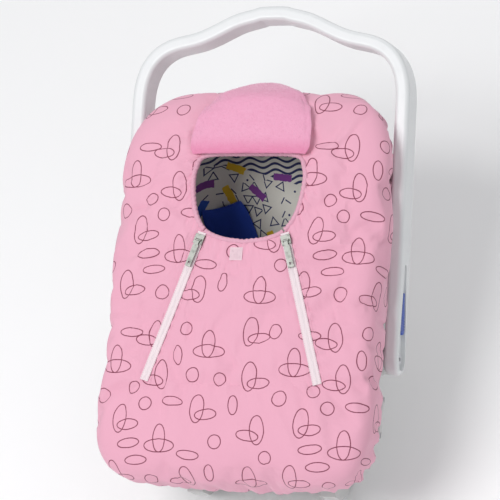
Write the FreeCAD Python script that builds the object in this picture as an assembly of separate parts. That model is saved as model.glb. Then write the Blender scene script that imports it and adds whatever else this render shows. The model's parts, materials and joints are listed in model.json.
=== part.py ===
"""Infant car seat with a fold-back carry handle, harness and zip-front cover.

Millimetres, +Z up, foot end toward -Y, head end toward +Y, origin on the
floor under the middle of the base frame.  Most pieces are built in the rim
frame (X across, Y along the rim toward the head, Z out of the seat) and
then placed; the handle is built in its own frame with Y along the arms.
"""
import FreeCAD, Part
import math
import os

# --- seat rim -------------------------------------------------------------
RIM_SLOPE = 18.0            # head end higher than the foot end, degrees
RIM_Y = -30.0               # rim frame origin in the world
RIM_Z = 250.0
SHELL_HALF_W = 172.0
SHELL_FOOT = 230.0
SHELL_HEAD = 338.0
SHELL_WALL = 4.0
PLAN_POWER = 4.0
TUB_POWER = 3.2
TUB_STATIONS = (
    (-0.985, 50.0), (-0.955, 66.0), (-0.90, 88.0), (-0.72, 134.0), (-0.48, 178.0), (-0.22, 203.0),
    (0.03, 208.0), (0.21, 196.0), (0.39, 174.0), (0.57, 146.0), (0.75, 114.0), (0.90, 82.0),
    (0.955, 66.0), (0.985, 52.0),
)
LIP_HALF_W = SHELL_HALF_W + 8.0
LIP_DROP = 14.0
LIP_WALL = 3.0
LIP_TOP = 4.0

# --- liners ---------------------------------------------------------------
LINER_GAP = 0.4
FOAM_THICK = 12.0
PAD_THICK = 14.0
LINER_TOP = -8.0
FOAM_SPLIT = 95.0

# --- fabric cover ---------------------------------------------------------
COVER_HALF_W = SHELL_HALF_W + 22.0
COVER_FOOT = SHELL_FOOT + 12.0
COVER_HEAD = SHELL_HEAD + 14.0
COVER_THICK = 6.0
COVER_POWER = 5.0
COVER_PLAN_POWER = 6.0
HEM_H = -58.0
HEM_TUCK = 10.0
HEM_ROLL = 6.0
HEM_NOTCH_HALF = 50.0
HEM_NOTCH_TOP = -14.0
SEAM_GAP = 0.6
PANEL_EASE = 3.5
ZIP_TOP = (63.0, 123.0, 75.0)
ZIP_END = (134.0, -106.0, 65.0)
OPENING_SIDE = ((35.0, 110.0), (63.0, 123.0), (80.0, 150.0), (88.0, 190.0), (86.0, 220.0), (70.0, 240.0))
OPENING_LOW = 105.0
OPENING_HIGH = 243.0
BINDING_W = 5.0
BINDING_RISE = 1.6
TAPE_W = 11.0
TAPE_LIFT = 0.2
TAPE_THICK = 1.6

# --- face flap ------------------------------------------------------------
FLAP_W = 186.0
FLAP_THICK = 10.0
FLAP_HINGE = (234.0, 89.0)
FLAP_ROOT = (245.0, 89.0)
FLAP_KNUCKLE = (322.5, 83.0)
FLAP_KNUCKLE_GAP = 5.9
FLAP_TIP_DROP = 50.0
FLAP_TIP_LEN = 64.0

# --- carry handle ---------------------------------------------------------
PIVOT_S = -34.0
PIVOT_H = -53.0
HANDLE_BACK = 63.0          # degrees back from vertical at rest
ARM_GAP = 3.5
ARM_INNER_X = COVER_HALF_W + ARM_GAP
ARM_THICK = 22.0
ARM_DEPTH = 48.0
ARM_ROUND = 6.5
CREST_SECTIONS = 40
CREST = (
    (208.5, 380.0), (206.5, 408.0), (199.5, 432.0), (186.0, 452.0), (167.0, 465.5), (145.0, 472.5),
    (122.0, 477.5), (100.0, 485.5), (77.0, 496.5), (52.0, 507.0), (26.0, 513.5), (0.0, 516.0),
)
RECESS_DEPTH = 6.0
RECESS_TOP = 140.0
RECESS_HUB_R = 17.0
HUB_POCKET_DEPTH = 7.0
DETENT_R = 17.0
DETENT_ANGLES = (0.0, 30.0, -63.0, -118.0)
LOCK_W = 6.0
LOCK_FROM = 17.8
LOCK_LEN = 30.0
LOCK_TRAVEL = 5.0
BUTTON_FROM = 36.0
BUTTON_LEN = 62.0
BUTTON_W_LOW = 19.0
BUTTON_W_TOP = 6.0
PIVOT_PIN_R = 5.0
RUN_FIT = 0.05

# --- base frame -----------------------------------------------------------
RUNNER_X = 105.0
RUNNER_W = 24.0
RUNNER_FRONT = -150.0
RUNNER_BACK = 150.0
BAR_Y = (-62.0, 70.0)
BAR_W = 34.0
BAR_H = 14.0
SPINE_W = 30.0
BOSS_X = 60.0
BOSS_R = 9.0
SCREW_R = 2.0
SCREW_HEAD_R = 4.0
FOOT_Y = (-118.0, 118.0)

V = FreeCAD.Vector
X_AXIS = V(1, 0, 0)


def rim_place(shape):
    """Place a rim-frame shape in the world."""
    placed = shape.copy()
    rim = FreeCAD.Placement(V(0, RIM_Y, RIM_Z), FreeCAD.Rotation(X_AXIS, RIM_SLOPE))
    placed.Placement = rim.multiply(placed.Placement)
    return placed


def rim_point(x, s, h):
    """Rim-frame point in world coordinates."""
    a = math.radians(RIM_SLOPE)
    return V(x, RIM_Y + s * math.cos(a) - h * math.sin(a), RIM_Z + s * math.sin(a) + h * math.cos(a))


def handle_place(shape):
    """Place a handle-frame shape (origin on the pivot, Y along the arms)."""
    placed = shape.copy()
    arm = FreeCAD.Placement(rim_point(0, PIVOT_S, PIVOT_H), FreeCAD.Rotation(X_AXIS, 90.0 - HANDLE_BACK))
    placed.Placement = arm.multiply(placed.Placement)
    return placed


def mirror(shape):
    """Mirror a left/right piece across the middle plane."""
    return shape.mirror(V(0, 0, 0), X_AXIS)


def box(x0, x1, y0, y1, z0, z1):
    """Box between two corners."""
    return Part.makeBox(x1 - x0, y1 - y0, z1 - z0, V(x0, y0, z0))


def rounded_box(x0, x1, y0, y1, z0, z1, radius):
    """Box with all edges rounded."""
    solid = box(x0, x1, y0, y1, z0, z1)
    return solid.makeFillet(radius, solid.Edges)


def prism(points, z0, z1):
    """Straight-sided prism over a closed polygon of (x, y) points."""
    corners = [V(x, y, z0) for x, y in points]
    wire = Part.makePolygon(corners + [corners[0]])
    return Part.Face(wire).extrude(V(0, 0, z1 - z0))


def profile_plate(points, x0, x1):
    """Prism along X over a closed polygon of (y, z) points."""
    corners = [V(x0, y, z) for y, z in points]
    wire = Part.makePolygon(corners + [corners[0]])
    return Part.Face(wire).extrude(V(x1 - x0, 0, 0))


def plan_half(half_w, t, power):
    """Half-width of the rounded plan outline at station t (-1 to 1)."""
    return half_w * (1.0 - abs(t) ** power) ** (1.0 / power)


def station_s(t, foot, head):
    """Distance along the rim of station t."""
    return t * (foot if t < 0 else head)


def spline_edge(points):
    """Smooth edge through points."""
    curve = Part.BSplineCurve()
    curve.interpolate(points)
    return curve.toShape()


def tub(offset):
    """Solid tub body shrunk by offset, standing 10 mm above the rim plane."""
    wires = []
    for t, depth in TUB_STATIONS:
        s = station_s(t, SHELL_FOOT - offset, SHELL_HEAD - offset)
        w = plan_half(SHELL_HALF_W - offset, t, PLAN_POWER)
        d = max(depth - offset, 9.0)
        curve = []
        for i in range(25):
            angle = math.pi * i / 24.0
            c = math.cos(angle)
            n = math.sin(angle)
            r = (abs(c) ** TUB_POWER + abs(n) ** TUB_POWER) ** (-1.0 / TUB_POWER)
            curve.append(V(w * c * r, s, -d * n * r))
        curve[0] = V(w, s, 0)
        curve[-1] = V(-w, s, 0)
        edges = [
            Part.makeLine(V(w, s, 10), curve[0]),
            spline_edge(curve),
            Part.makeLine(curve[-1], V(-w, s, 10)),
            Part.makeLine(V(-w, s, 10), V(w, s, 10)),
        ]
        wires.append(Part.Wire(edges))
    return Part.makeLoft(wires, True, False)


def plan_prism(half_w, foot, head, z0, z1, power):
    """Straight-sided body over the rounded plan outline."""
    side = []
    for i in range(25):
        t = 0.985 * math.sin(math.pi * (i / 24.0 - 0.5))
        side.append(V(plan_half(half_w, t, power), station_s(t, foot, head), z0))
    other = [V(-p.x, p.y, p.z) for p in side]
    edges = [
        spline_edge(side),
        Part.makeLine(side[-1], other[-1]),
        spline_edge(other[::-1]),
        Part.makeLine(other[0], side[0]),
    ]
    return Part.Face(Part.Wire(edges)).extrude(V(0, 0, z1 - z0))


def zip_x(s):
    """Distance of the zip line from the middle at station s."""
    share = (ZIP_TOP[1] - s) / (ZIP_TOP[1] - ZIP_END[1])
    return ZIP_TOP[0] + (ZIP_END[0] - ZIP_TOP[0]) * share


def zip_crown(s):
    """Crown height that keeps the cover straight along the zips."""
    share = (ZIP_TOP[1] - s) / (ZIP_TOP[1] - ZIP_END[1])
    height = ZIP_TOP[2] + (ZIP_END[2] - ZIP_TOP[2]) * share
    w = plan_half(COVER_HALF_W, s / (COVER_FOOT if s < 0 else COVER_HEAD), COVER_PLAN_POWER)
    return height / (1.0 - (zip_x(s) / w) ** COVER_POWER) ** (1.0 / COVER_POWER)


def cover_stations():
    """Stations of the cover as (t, crown height)."""
    stations = [(-0.985, 20.0), (-0.955, 31.0), (-0.90, 42.0), (-0.80, 53.0), (-0.65, 61.0)]
    for s in (-106.0, -55.0, 0.0, 60.0, 123.0):
        stations.append((s / (COVER_FOOT if s < 0 else COVER_HEAD), zip_crown(s)))
    stations += [(0.50, 77.5), (0.62, 79.0), (0.72, 78.5), (0.82, 73.5), (0.90, 63.0), (0.955, 48.0), (0.985, 34.0)]
    return stations


def dome(offset):
    """Solid cover body shrunk by offset, closed by a flat floor below the hem."""
    wires = []
    floor_h = HEM_H - 2.0 if offset > 0 else HEM_H
    for t, crown in cover_stations():
        s = station_s(t, COVER_FOOT - offset, COVER_HEAD - offset)
        w = plan_half(COVER_HALF_W - offset, t, COVER_PLAN_POWER)
        h = max(crown - offset, 4.0)
        curve = [V(w - HEM_TUCK, s, floor_h), V(w - 0.35 * HEM_TUCK, s, 0.55 * floor_h)]
        for i in range(25):
            angle = math.pi * i / 24.0
            c = math.cos(angle)
            n = math.sin(angle)
            r = (abs(c) ** COVER_POWER + abs(n) ** COVER_POWER) ** (-1.0 / COVER_POWER)
            curve.append(V(w * c * r, s, h * n * r))
        curve.append(V(-curve[1].x, s, curve[1].z))
        curve.append(V(-curve[0].x, s, curve[0].z))
        edges = [spline_edge(curve), Part.makeLine(curve[-1], curve[0])]
        wires.append(Part.Wire(edges))
    return Part.makeLoft(wires, True, False)


def opening_points(inset, low=OPENING_LOW, high=OPENING_HIGH):
    """Closed outline of the face opening, drawn smaller by inset."""
    mid = 0.5 * (low + high)
    right = [V(0, low + inset, 0)]
    for x, s in OPENING_SIDE:
        scale = 1.0 - inset / math.hypot(x, s - mid)
        right.append(V(x * scale, mid + (s - mid) * scale, 0))
    right.append(V(0, high - inset, 0))
    left = [V(-p.x, p.y, 0) for p in right[-2:0:-1]]
    return right + left


def opening_prism(inset, z0, z1):
    """Body through the face opening."""
    points = [V(p.x, p.y, z0) for p in opening_points(inset)]
    curve = Part.BSplineCurve()
    curve.interpolate(points, PeriodicFlag=True)
    face = Part.Face(Part.Wire([curve.toShape()]))
    return face.extrude(V(0, 0, z1 - z0))


def panel_points(inset, ease):
    """Corner points of the front panel between the zips, eased at its lower corners."""
    top = ZIP_TOP[1] + 8.0
    low = ZIP_END[1] + inset
    low_x = zip_x(low) - inset - ease
    top_x = zip_x(top) - inset
    return [(-low_x, low), (low_x, low), (top_x, top), (-top_x, top)]


def strip_points(x0, s0, x1, s1, half):
    """Corner points of a straight strip."""
    length = math.hypot(x1 - x0, s1 - s0)
    nx = -(s1 - s0) / length * half
    ny = (x1 - x0) / length * half
    return [(x0 + nx, s0 + ny), (x1 + nx, s1 + ny), (x1 - nx, s1 - ny), (x0 - nx, s0 - ny)]


def fuse(shapes):
    """One solid from touching shapes."""
    return shapes[0].multiFuse(shapes[1:])


NODES = {}


def keep(name, shape):
    """Store a finished node."""
    NODES[name] = shape


# --- shared bodies --------------------------------------------------------
PAD_OUT = SHELL_WALL + LINER_GAP + FOAM_THICK + LINER_GAP
PAD_IN = PAD_OUT + PAD_THICK
LEVELS = {}


def level(offset):
    """Tub body at an offset, built once."""
    key = round(offset, 3)
    if key not in LEVELS:
        LEVELS[key] = tub(offset)
    return LEVELS[key]


def layer(outer, inner, zone):
    """Part of the layer between two tub offsets that lies inside a zone."""
    return level(outer).common(zone).cut(level(inner))


# --- shell ----------------------------------------------------------------
STRAP_SLOT_S = 205.0
STRAP_TOP_X = 85.0
STRAP_LOW_X = 24.0
STRAP_HALF = 19.0
CROTCH_SLOT_S = -84.0
ADJUST_SLOT_S = -150.0
WEB = 2.2
BOSS_END_X = ARM_INNER_X - 7.0
GUIDE_S = (-146.0, -82.0)
GUIDE_H = -84.0


def slot_box(x, s, half_x, half_s):
    """Through slot for webbing in the tub floor."""
    return box(x - half_x, x + half_x, s - half_s, s + half_s, -260.0, 5.0)


def strap_slots(extra):
    """All webbing slots of the tub."""
    cuts = []
    for side in (-1.0, 1.0):
        cuts.append(slot_box(side * STRAP_TOP_X, STRAP_SLOT_S, STRAP_HALF + 3.0 + extra, 5.0 + extra))
    cuts.append(slot_box(0.0, CROTCH_SLOT_S, STRAP_HALF + 3.0 + extra, 5.0 + extra))
    cuts.append(slot_box(0.0, ADJUST_SLOT_S, 15.0 + extra, 5.0 + extra))
    return cuts


def pivot_axis_cylinder(radius, x0, x1):
    """Cylinder along X on the handle pivot, rim frame."""
    return Part.makeCylinder(radius, x1 - x0, V(x0, PIVOT_S, PIVOT_H), X_AXIS)


def world_to_rim(shape):
    """Move a world-frame shape into the rim frame."""
    moved = shape.copy()
    rim = FreeCAD.Placement(V(0, RIM_Y, RIM_Z), FreeCAD.Rotation(X_AXIS, RIM_SLOPE))
    moved.Placement = rim.inverse().multiply(moved.Placement)
    return moved


def build_shell():
    """Moulded tub with rim lip, handle bosses and base bosses."""
    above = box(-300, 300, -400, 500, 0.0, 60.0)
    lip = plan_prism(LIP_HALF_W, SHELL_FOOT + 4.0, SHELL_HEAD + 4.0, -LIP_DROP, 0.0, PLAN_POWER)
    hollow = plan_prism(LIP_HALF_W - LIP_WALL, SHELL_FOOT + 1.0, SHELL_HEAD + 1.0,
                        -LIP_DROP - 1.0, -LIP_TOP, PLAN_POWER)
    body = level(0.0).cut(above)
    body = body.fuse(lip.cut(hollow))
    for side in (-1.0, 1.0):
        x0 = 150.0 if side > 0 else -BOSS_END_X
        x1 = BOSS_END_X if side > 0 else -150.0
        body = body.fuse(pivot_axis_cylinder(24.0, x0, x1))
        rib = box(min(side * 150, side * 182), max(side * 150, side * 182), PIVOT_S - 4, PIVOT_S + 4, -132.0, -60.0)
        body = body.fuse(rib)
    for y in BAR_Y:
        for side in (-1.0, 1.0):
            boss = Part.makeCylinder(BOSS_R, 110.0, V(side * BOSS_X, y, BAR_H + 0.1))
            body = body.fuse(world_to_rim(boss))
    body = body.cut(level(SHELL_WALL))
    for side in (-1.0, 1.0):
        x0 = 170.0 if side > 0 else -BOSS_END_X - 1.0
        x1 = BOSS_END_X + 1.0 if side > 0 else -170.0
        body = body.cut(pivot_axis_cylinder(PIVOT_PIN_R, x0, x1))
        for s in (GUIDE_S[0] + 5.0, GUIDE_S[1] - 5.0):
            screw = Part.makeCylinder(SCREW_R, 40.0, V(side * 150.0, s, GUIDE_H), V(side, 0, 0))
            body = body.cut(screw)
    for y in BAR_Y:
        for side in (-1.0, 1.0):
            hole = Part.makeCylinder(SCREW_R, 20.0, V(side * BOSS_X, y, BAR_H - 1.0))
            body = body.cut(world_to_rim(hole))
    for cut in strap_slots(0.0):
        body = body.cut(cut)
    return body


def build_base():
    """Base frame with two rocker runners, two cross bars and a spine, world frame."""
    outline = [
        (RUNNER_FRONT, 0.0), (RUNNER_BACK, 0.0), (RUNNER_BACK + 42.0, 16.0), (RUNNER_BACK + 78.0, 44.0),
        (RUNNER_BACK + 66.0, 60.0), (RUNNER_BACK + 10.0, 96.0), (-100.0, 96.0), (RUNNER_FRONT - 20.0, 104.0),
        (RUNNER_FRONT - 62.0, 66.0), (RUNNER_FRONT - 50.0, 34.0), (RUNNER_FRONT - 26.0, 10.0),
    ]
    parts = []
    for side in (-1.0, 1.0):
        x = side * RUNNER_X
        parts.append(profile_plate(outline, x - 0.5 * RUNNER_W, x + 0.5 * RUNNER_W))
    for y in BAR_Y:
        parts.append(box(-RUNNER_X, RUNNER_X, y - 0.5 * BAR_W, y + 0.5 * BAR_W, 0.0, BAR_H))
    parts.append(box(-0.5 * SPINE_W, 0.5 * SPINE_W, BAR_Y[0], BAR_Y[1], 0.0, BAR_H))
    body = fuse(parts)
    envelope = rim_place(tub(-0.3))
    body = body.cut(envelope)
    holes = []
    for y in BAR_Y:
        for side in (-1.0, 1.0):
            x = side * BOSS_X
            holes.append(Part.makeCylinder(SCREW_R + 0.4, 60.0, V(x, y, -1.0)))
            holes.append(Part.makeCylinder(SCREW_HEAD_R + 1.0, 6.0, V(x, y, -1.0)))
    for side in (-1.0, 1.0):
        x = side * RUNNER_X
        for y in FOOT_Y:
            holes.append(box(x - 8.0, x + 8.0, y - 20.0, y + 20.0, -1.0, 3.0))
    for hole in holes:
        body = body.cut(hole)
    return body


def build_feet():
    """Four rubber pads flush with the runners."""
    pads = []
    for side in (-1.0, 1.0):
        x = side * RUNNER_X
        for y in FOOT_Y:
            pads.append(box(x - 7.7, x + 7.7, y - 19.7, y + 19.7, 0.0, 2.9))
    return Part.makeCompound(pads)


def screw(length, head_h):
    """Pan-head screw along +Z with the head below the origin."""
    shank = Part.makeCylinder(SCREW_R, length, V(0, 0, 0))
    head = Part.makeCylinder(SCREW_HEAD_R, head_h, V(0, 0, -head_h))
    cross = box(-2.6, 2.6, -0.5, 0.5, -head_h - 1.0, -head_h + 1.2)
    cross = cross.fuse(box(-0.5, 0.5, -2.6, 2.6, -head_h - 1.0, -head_h + 1.2))
    return shank.fuse(head).removeSplitter().cut(cross)


def build_base_screws():
    """Four screws from the cross bars up into the shell bosses."""
    screws = []
    for y in BAR_Y:
        for side in (-1.0, 1.0):
            item = screw(24.0, 3.0)
            item.Placement = FreeCAD.Placement(V(side * BOSS_X, y, 5.0), FreeCAD.Rotation())
            screws.append(item)
    return Part.makeCompound(screws)


def build_liner(outer, inner, s0, s1):
    """Liner layer between two offsets over a length range."""
    zone = box(-300, 300, s0, s1, -300.0, LINER_TOP)
    body = layer(outer, inner, zone)
    for cut in strap_slots(1.0):
        body = body.cut(cut)
    return body


def ribbon_zone(x0, s0, x1, s1, half):
    """Zone of a webbing ribbon seen from above."""
    return prism(strip_points(x0, s0, x1, s1, half), -260.0, 0.0)


def build_shoulder_strap(side):
    """Shoulder webbing from the buckle tongue through the shell to the yoke."""
    x_top = side * STRAP_TOP_X
    front = layer(PAD_IN + 0.4, PAD_IN + 0.4 + WEB, ribbon_zone(side * STRAP_LOW_X, 40.0, x_top, STRAP_SLOT_S, STRAP_HALF))
    link = box(x_top - STRAP_HALF + 1, x_top + STRAP_HALF - 1, STRAP_SLOT_S - 3.0, STRAP_SLOT_S - 3.0 + WEB, -260.0, 0.0)
    link = layer(-0.5 - WEB, PAD_IN + 0.4 + WEB, link)
    back = layer(-0.5 - WEB, -0.5, ribbon_zone(side * 34.0, 132.0, x_top, STRAP_SLOT_S - 1.0, STRAP_HALF - 5.0))
    return fuse([front, link, back])


def build_shoulder_pad(side):
    """Padded sleeve lying on a shoulder strap."""
    zone = ribbon_zone(side * 52.0, 92.0, side * 84.0, 193.0, 36.0)
    zone = zone.makeFillet(16.0, [e for e in zone.Edges if abs(e.Vertexes[0].Z - e.Vertexes[-1].Z) > 100.0])
    start = PAD_IN + 0.4 + WEB + 0.4
    return layer(start, start + 10.0, zone)


def build_chest_clip(side):
    """One half of the clip that joins the shoulder straps."""
    zone = box(min(side * 0.3, side * 58.0), max(side * 0.3, side * 58.0), 56.0, 88.0, -260.0, 0.0)
    start = PAD_IN + 0.4 + WEB + 0.4
    return layer(start, start + 7.0, zone)


BUCKLE = (-26.0, 26.0, -46.0, 14.0)


def pad_floor(s):
    """Height of the pad surface on the middle line."""
    points = []
    for t, depth in TUB_STATIONS:
        points.append((station_s(t, SHELL_FOOT - PAD_IN, SHELL_HEAD - PAD_IN), depth - PAD_IN))
    for (s0, d0), (s1, d1) in zip(points, points[1:]):
        if s0 <= s <= s1:
            return -(d0 + (d1 - d0) * (s - s0) / (s1 - s0))
    return 0.0


BUCKLE_BASE = max(pad_floor(BUCKLE[2]), pad_floor(BUCKLE[3])) + 3.4
BUCKLE_TOP = BUCKLE_BASE + 22.0


def build_buckle():
    """Buckle housing with tongue slots and a button pocket."""
    body = rounded_box(BUCKLE[0], BUCKLE[1], BUCKLE[2], BUCKLE[3], BUCKLE_BASE, BUCKLE_TOP, 4.0)
    for side in (-1.0, 1.0):
        body = body.cut(box(min(side * 3, side * 21), max(side * 3, side * 21), -14.0, 20.0, BUCKLE_BASE + 6.0, BUCKLE_BASE + 9.4))
    body = body.cut(box(-13.0, 13.0, -40.0, -20.0, BUCKLE_BASE + 11.0, BUCKLE_TOP + 1.0))
    return body


def build_buckle_button():
    """Press button in the buckle."""
    return rounded_box(-12.6, 12.6, -39.6, -20.4, BUCKLE_BASE + 15.0, BUCKLE_TOP + 0.6, 1.5)


def build_tongue(side):
    """Metal buckle tongue at the end of a shoulder strap."""
    z0 = BUCKLE_BASE + 6.4
    low = min(side * 3.8, side * 20.2)
    high = max(side * 3.8, side * 20.2)
    blade = box(low, high, -10.0, 18.0, z0, z0 + 2.6)
    head = box(min(side * 2, side * 44), max(side * 2, side * 44), 18.0, 36.0, z0, z0 + 2.6)
    slot = box(min(side * 6, side * 40), max(side * 6, side * 40), 26.0, 31.0, z0 - 1, z0 + 4.0)
    return blade.fuse(head).removeSplitter().cut(slot)


def build_crotch_strap():
    """Webbing from under the buckle through the seat to its anchor plate."""
    s0 = CROTCH_SLOT_S - 3.0
    flat = layer(PAD_IN + 0.4, PAD_IN + 0.4 + WEB, box(-19.0, 19.0, s0, -18.0, -260.0, 0.0))
    link = layer(-3.4, PAD_IN + 0.4 + WEB, box(-18.0, 18.0, s0, s0 + WEB, -260.0, 0.0))
    return flat.fuse(link)


def build_anchor():
    """Steel anchor plate of the crotch strap under the shell."""
    plate = box(-24.0, 24.0, CROTCH_SLOT_S - 10.0, CROTCH_SLOT_S + 10.0, -260.0, 0.0)
    plate = layer(-4.2, -0.6, plate)
    return plate.cut(box(-19.0, 19.0, CROTCH_SLOT_S - 4.0, CROTCH_SLOT_S + 0.4, -260.0, 0.0))


def build_yoke():
    """Steel three-way plate joining both shoulder straps to the adjuster strap."""
    zone = box(-56.0, 56.0, 104.0, 124.0, -260.0, 0.0)
    body = layer(-3.6, -0.6, zone)
    return body


def build_adjust_strap():
    """Webbing from the yoke under the shell and out at the foot end."""
    under = layer(-4.8 - WEB, -4.8, box(-12.0, 12.0, ADJUST_SLOT_S - 3.0, 119.0, -260.0, 0.0))
    link = layer(-4.8 - WEB, PAD_IN + 0.4 + WEB, box(-11.0, 11.0, ADJUST_SLOT_S - 3.0, ADJUST_SLOT_S - 0.8, -260.0, 0.0))
    tail = layer(PAD_IN + 0.4, PAD_IN + 0.4 + WEB, box(-12.0, 12.0, ADJUST_SLOT_S - 4.0, ADJUST_SLOT_S + 34.0, -260.0, 0.0))
    return fuse([under, link, tail])


def build_adjuster():
    """Adjuster housing on the foot slope of the pad."""
    zone = box(-20.0, 20.0, ADJUST_SLOT_S + 5.0, ADJUST_SLOT_S + 29.0, -260.0, 0.0)
    start = PAD_IN + 0.4 + WEB + 0.3
    return layer(start, start + 9.0, zone)


def build_guide(side):
    """Lap belt guide loop on the side of the shell, rim frame."""
    x0 = SHELL_HALF_W - 12.0
    x1 = SHELL_HALF_W + 17.0
    outer = box(x0, x1, GUIDE_S[0], GUIDE_S[1], GUIDE_H - 6.0, GUIDE_H + 6.0)
    outer = outer.makeFillet(4.0, [e for e in outer.Edges if min(e.Vertexes[0].X, e.Vertexes[-1].X) > x1 - 1.0])
    slot = box(x1 - 12.0, x1 - 6.0, GUIDE_S[0] + 5.0, GUIDE_S[1] - 5.0, GUIDE_H - 8.0, GUIDE_H + 8.0)
    body = outer.cut(slot).cut(level(-0.1))
    for s in (GUIDE_S[0] + 5.0, GUIDE_S[1] - 5.0):
        body = body.cut(Part.makeCylinder(SCREW_R + 0.3, 60.0, V(150.0, s, GUIDE_H), X_AXIS))
        body = body.cut(Part.makeCylinder(SCREW_HEAD_R + 0.5, 20.0, V(x1 - 3.5, s, GUIDE_H), X_AXIS))
    return body if side > 0 else mirror(body)


def build_guide_screws():
    """Four screws holding the belt guides."""
    screws = []
    for side in (-1.0, 1.0):
        for s in (GUIDE_S[0] + 5.0, GUIDE_S[1] - 5.0):
            item = screw(17.5, 2.4)
            turn = FreeCAD.Rotation(V(0, 1, 0), -90.0 * side)
            item.Placement = FreeCAD.Placement(V(side * (SHELL_HALF_W + 13.5), s, GUIDE_H), turn)
            screws.append(item)
    return Part.makeCompound([rim_place(Part.makeCompound([item])) for item in screws])


# --- cover ----------------------------------------------------------------
def build_cover():
    """Cover panels, front panel, binding, zip tapes and patch."""
    outer = dome(0.0)
    inner = dome(COVER_THICK)
    skin = outer.cut(inner)
    opening = opening_prism(0.0, -80.0, 140.0)
    panel_hole = prism(panel_points(0.0, 0.0), 0.0, 140.0)
    big = 400.0
    rest = skin.cut(opening).cut(panel_hole)
    for side in (-1.0, 1.0):
        x0 = min(side * 140.0, side * 260.0)
        x1 = max(side * 140.0, side * 260.0)
        notch = box(x0, x1, PIVOT_S - HEM_NOTCH_HALF, PIVOT_S + HEM_NOTCH_HALF, -100.0, HEM_NOTCH_TOP)
        rest = rest.cut(notch)
    foot_edge = ZIP_END[1] - SEAM_GAP
    head_edge = ZIP_TOP[1] + SEAM_GAP
    keep("cover_head", rim_place(rest.common(box(-big, big, head_edge, big, -100.0, 140.0))))
    keep("cover_foot", rim_place(rest.common(box(-big, big, -big, foot_edge, -100.0, 140.0))))
    middle = rest.common(box(-big, big, ZIP_END[1], ZIP_TOP[1], -100.0, 140.0))
    right = middle.common(box(1.0, big, -big, big, -100.0, 140.0))
    keep("cover_side_right", rim_place(right))
    keep("cover_side_left", mirror(rim_place(right)))
    panel = skin.common(prism(panel_points(SEAM_GAP, PANEL_EASE), 0.0, 140.0)).cut(opening)
    keep("front_panel", rim_place(panel))
    raised = dome(-BINDING_RISE).cut(dome(COVER_THICK + 0.5))
    ring = raised.common(opening_prism(0.2, 0.0, 140.0)).cut(opening_prism(BINDING_W, 0.0, 140.0))
    keep("opening_binding", rim_place(ring.common(box(-big, big, head_edge, big, 0.0, 140.0))))
    keep("panel_binding", rim_place(ring.common(box(-big, big, -big, ZIP_TOP[1] - SEAM_GAP, 0.0, 140.0))))
    tape_skin = dome(-TAPE_LIFT - TAPE_THICK).cut(dome(-TAPE_LIFT))
    strip = prism(strip_points(ZIP_TOP[0], ZIP_TOP[1] - 1.0, ZIP_END[0], ZIP_END[1] + 1.0, 0.5 * TAPE_W), 0.0, 140.0)
    strip = strip.cut(opening_prism(-1.5, -80.0, 140.0))
    tape = tape_skin.common(strip)
    keep("zip_tape_right", rim_place(tape))
    keep("zip_tape_left", mirror(rim_place(tape)))
    patch = tape_skin.common(box(-18.0, 2.0, 78.0, 98.0, 0.0, 140.0))
    keep("hook_loop_patch", rim_place(patch))
    roll_out = plan_prism(COVER_HALF_W - HEM_TUCK + 2.0, COVER_FOOT - 1.0, COVER_HEAD - 1.0,
                          HEM_H - HEM_ROLL, HEM_H - 0.3, COVER_PLAN_POWER)
    roll_in = plan_prism(COVER_HALF_W - HEM_TUCK - 5.0, COVER_FOOT - 8.0, COVER_HEAD - 8.0,
                         HEM_H - HEM_ROLL - 1.0, HEM_H + 1.0, COVER_PLAN_POWER)
    roll = roll_out.cut(roll_in)
    half = HEM_NOTCH_HALF
    keep("elastic_hem_head", rim_place(roll.common(box(-big, big, PIVOT_S + half, big, -100.0, 0.0))))
    keep("elastic_hem_foot", rim_place(roll.common(box(-big, big, -big, PIVOT_S - half, -100.0, 0.0))))
    tag_top = HEM_H - HEM_ROLL - 0.4
    keep("side_tag", rim_place(box(112.0, 128.0, -222.0, -221.0, tag_top - 20.0, tag_top)))


def capsule(s0, h0, s1, h1, half_w):
    """Plate with rounded ends between two points of the middle plane."""
    length = math.hypot(s1 - s0, h1 - h0)
    r = 0.5 * FLAP_THICK
    plate = box(-half_w, half_w, 0.0, length, -r, r)
    ends = [Part.makeCylinder(r, 2.0 * half_w, V(-half_w, y, 0), X_AXIS) for y in (0.0, length)]
    body = fuse([plate] + ends)
    return body


def place_plate(body, s0, h0, s1, h1):
    """Place a plate built along Y onto a line of the middle plane."""
    angle = math.degrees(math.atan2(h1 - h0, s1 - s0))
    placed = body.copy()
    placed.Placement = FreeCAD.Placement(V(0, s0, h0), FreeCAD.Rotation(X_AXIS, angle))
    return placed


def flap_ends():
    """Centre points of the rounded flap ends on both sides of the knuckle."""
    rs, rh = FLAP_ROOT
    ks, kh = FLAP_KNUCKLE
    length = math.hypot(ks - rs, kh - rh)
    ux = (ks - rs) / length
    uh = (kh - rh) / length
    drop = math.radians(FLAP_TIP_DROP)
    fold_end = (ks - ux * FLAP_KNUCKLE_GAP, kh - uh * FLAP_KNUCKLE_GAP)
    tip_start = (ks + math.cos(drop) * FLAP_KNUCKLE_GAP, kh - math.sin(drop) * FLAP_KNUCKLE_GAP)
    tip_end = (ks + math.cos(drop) * FLAP_TIP_LEN, kh - math.sin(drop) * FLAP_TIP_LEN)
    return fold_end, tip_start, tip_end


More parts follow.
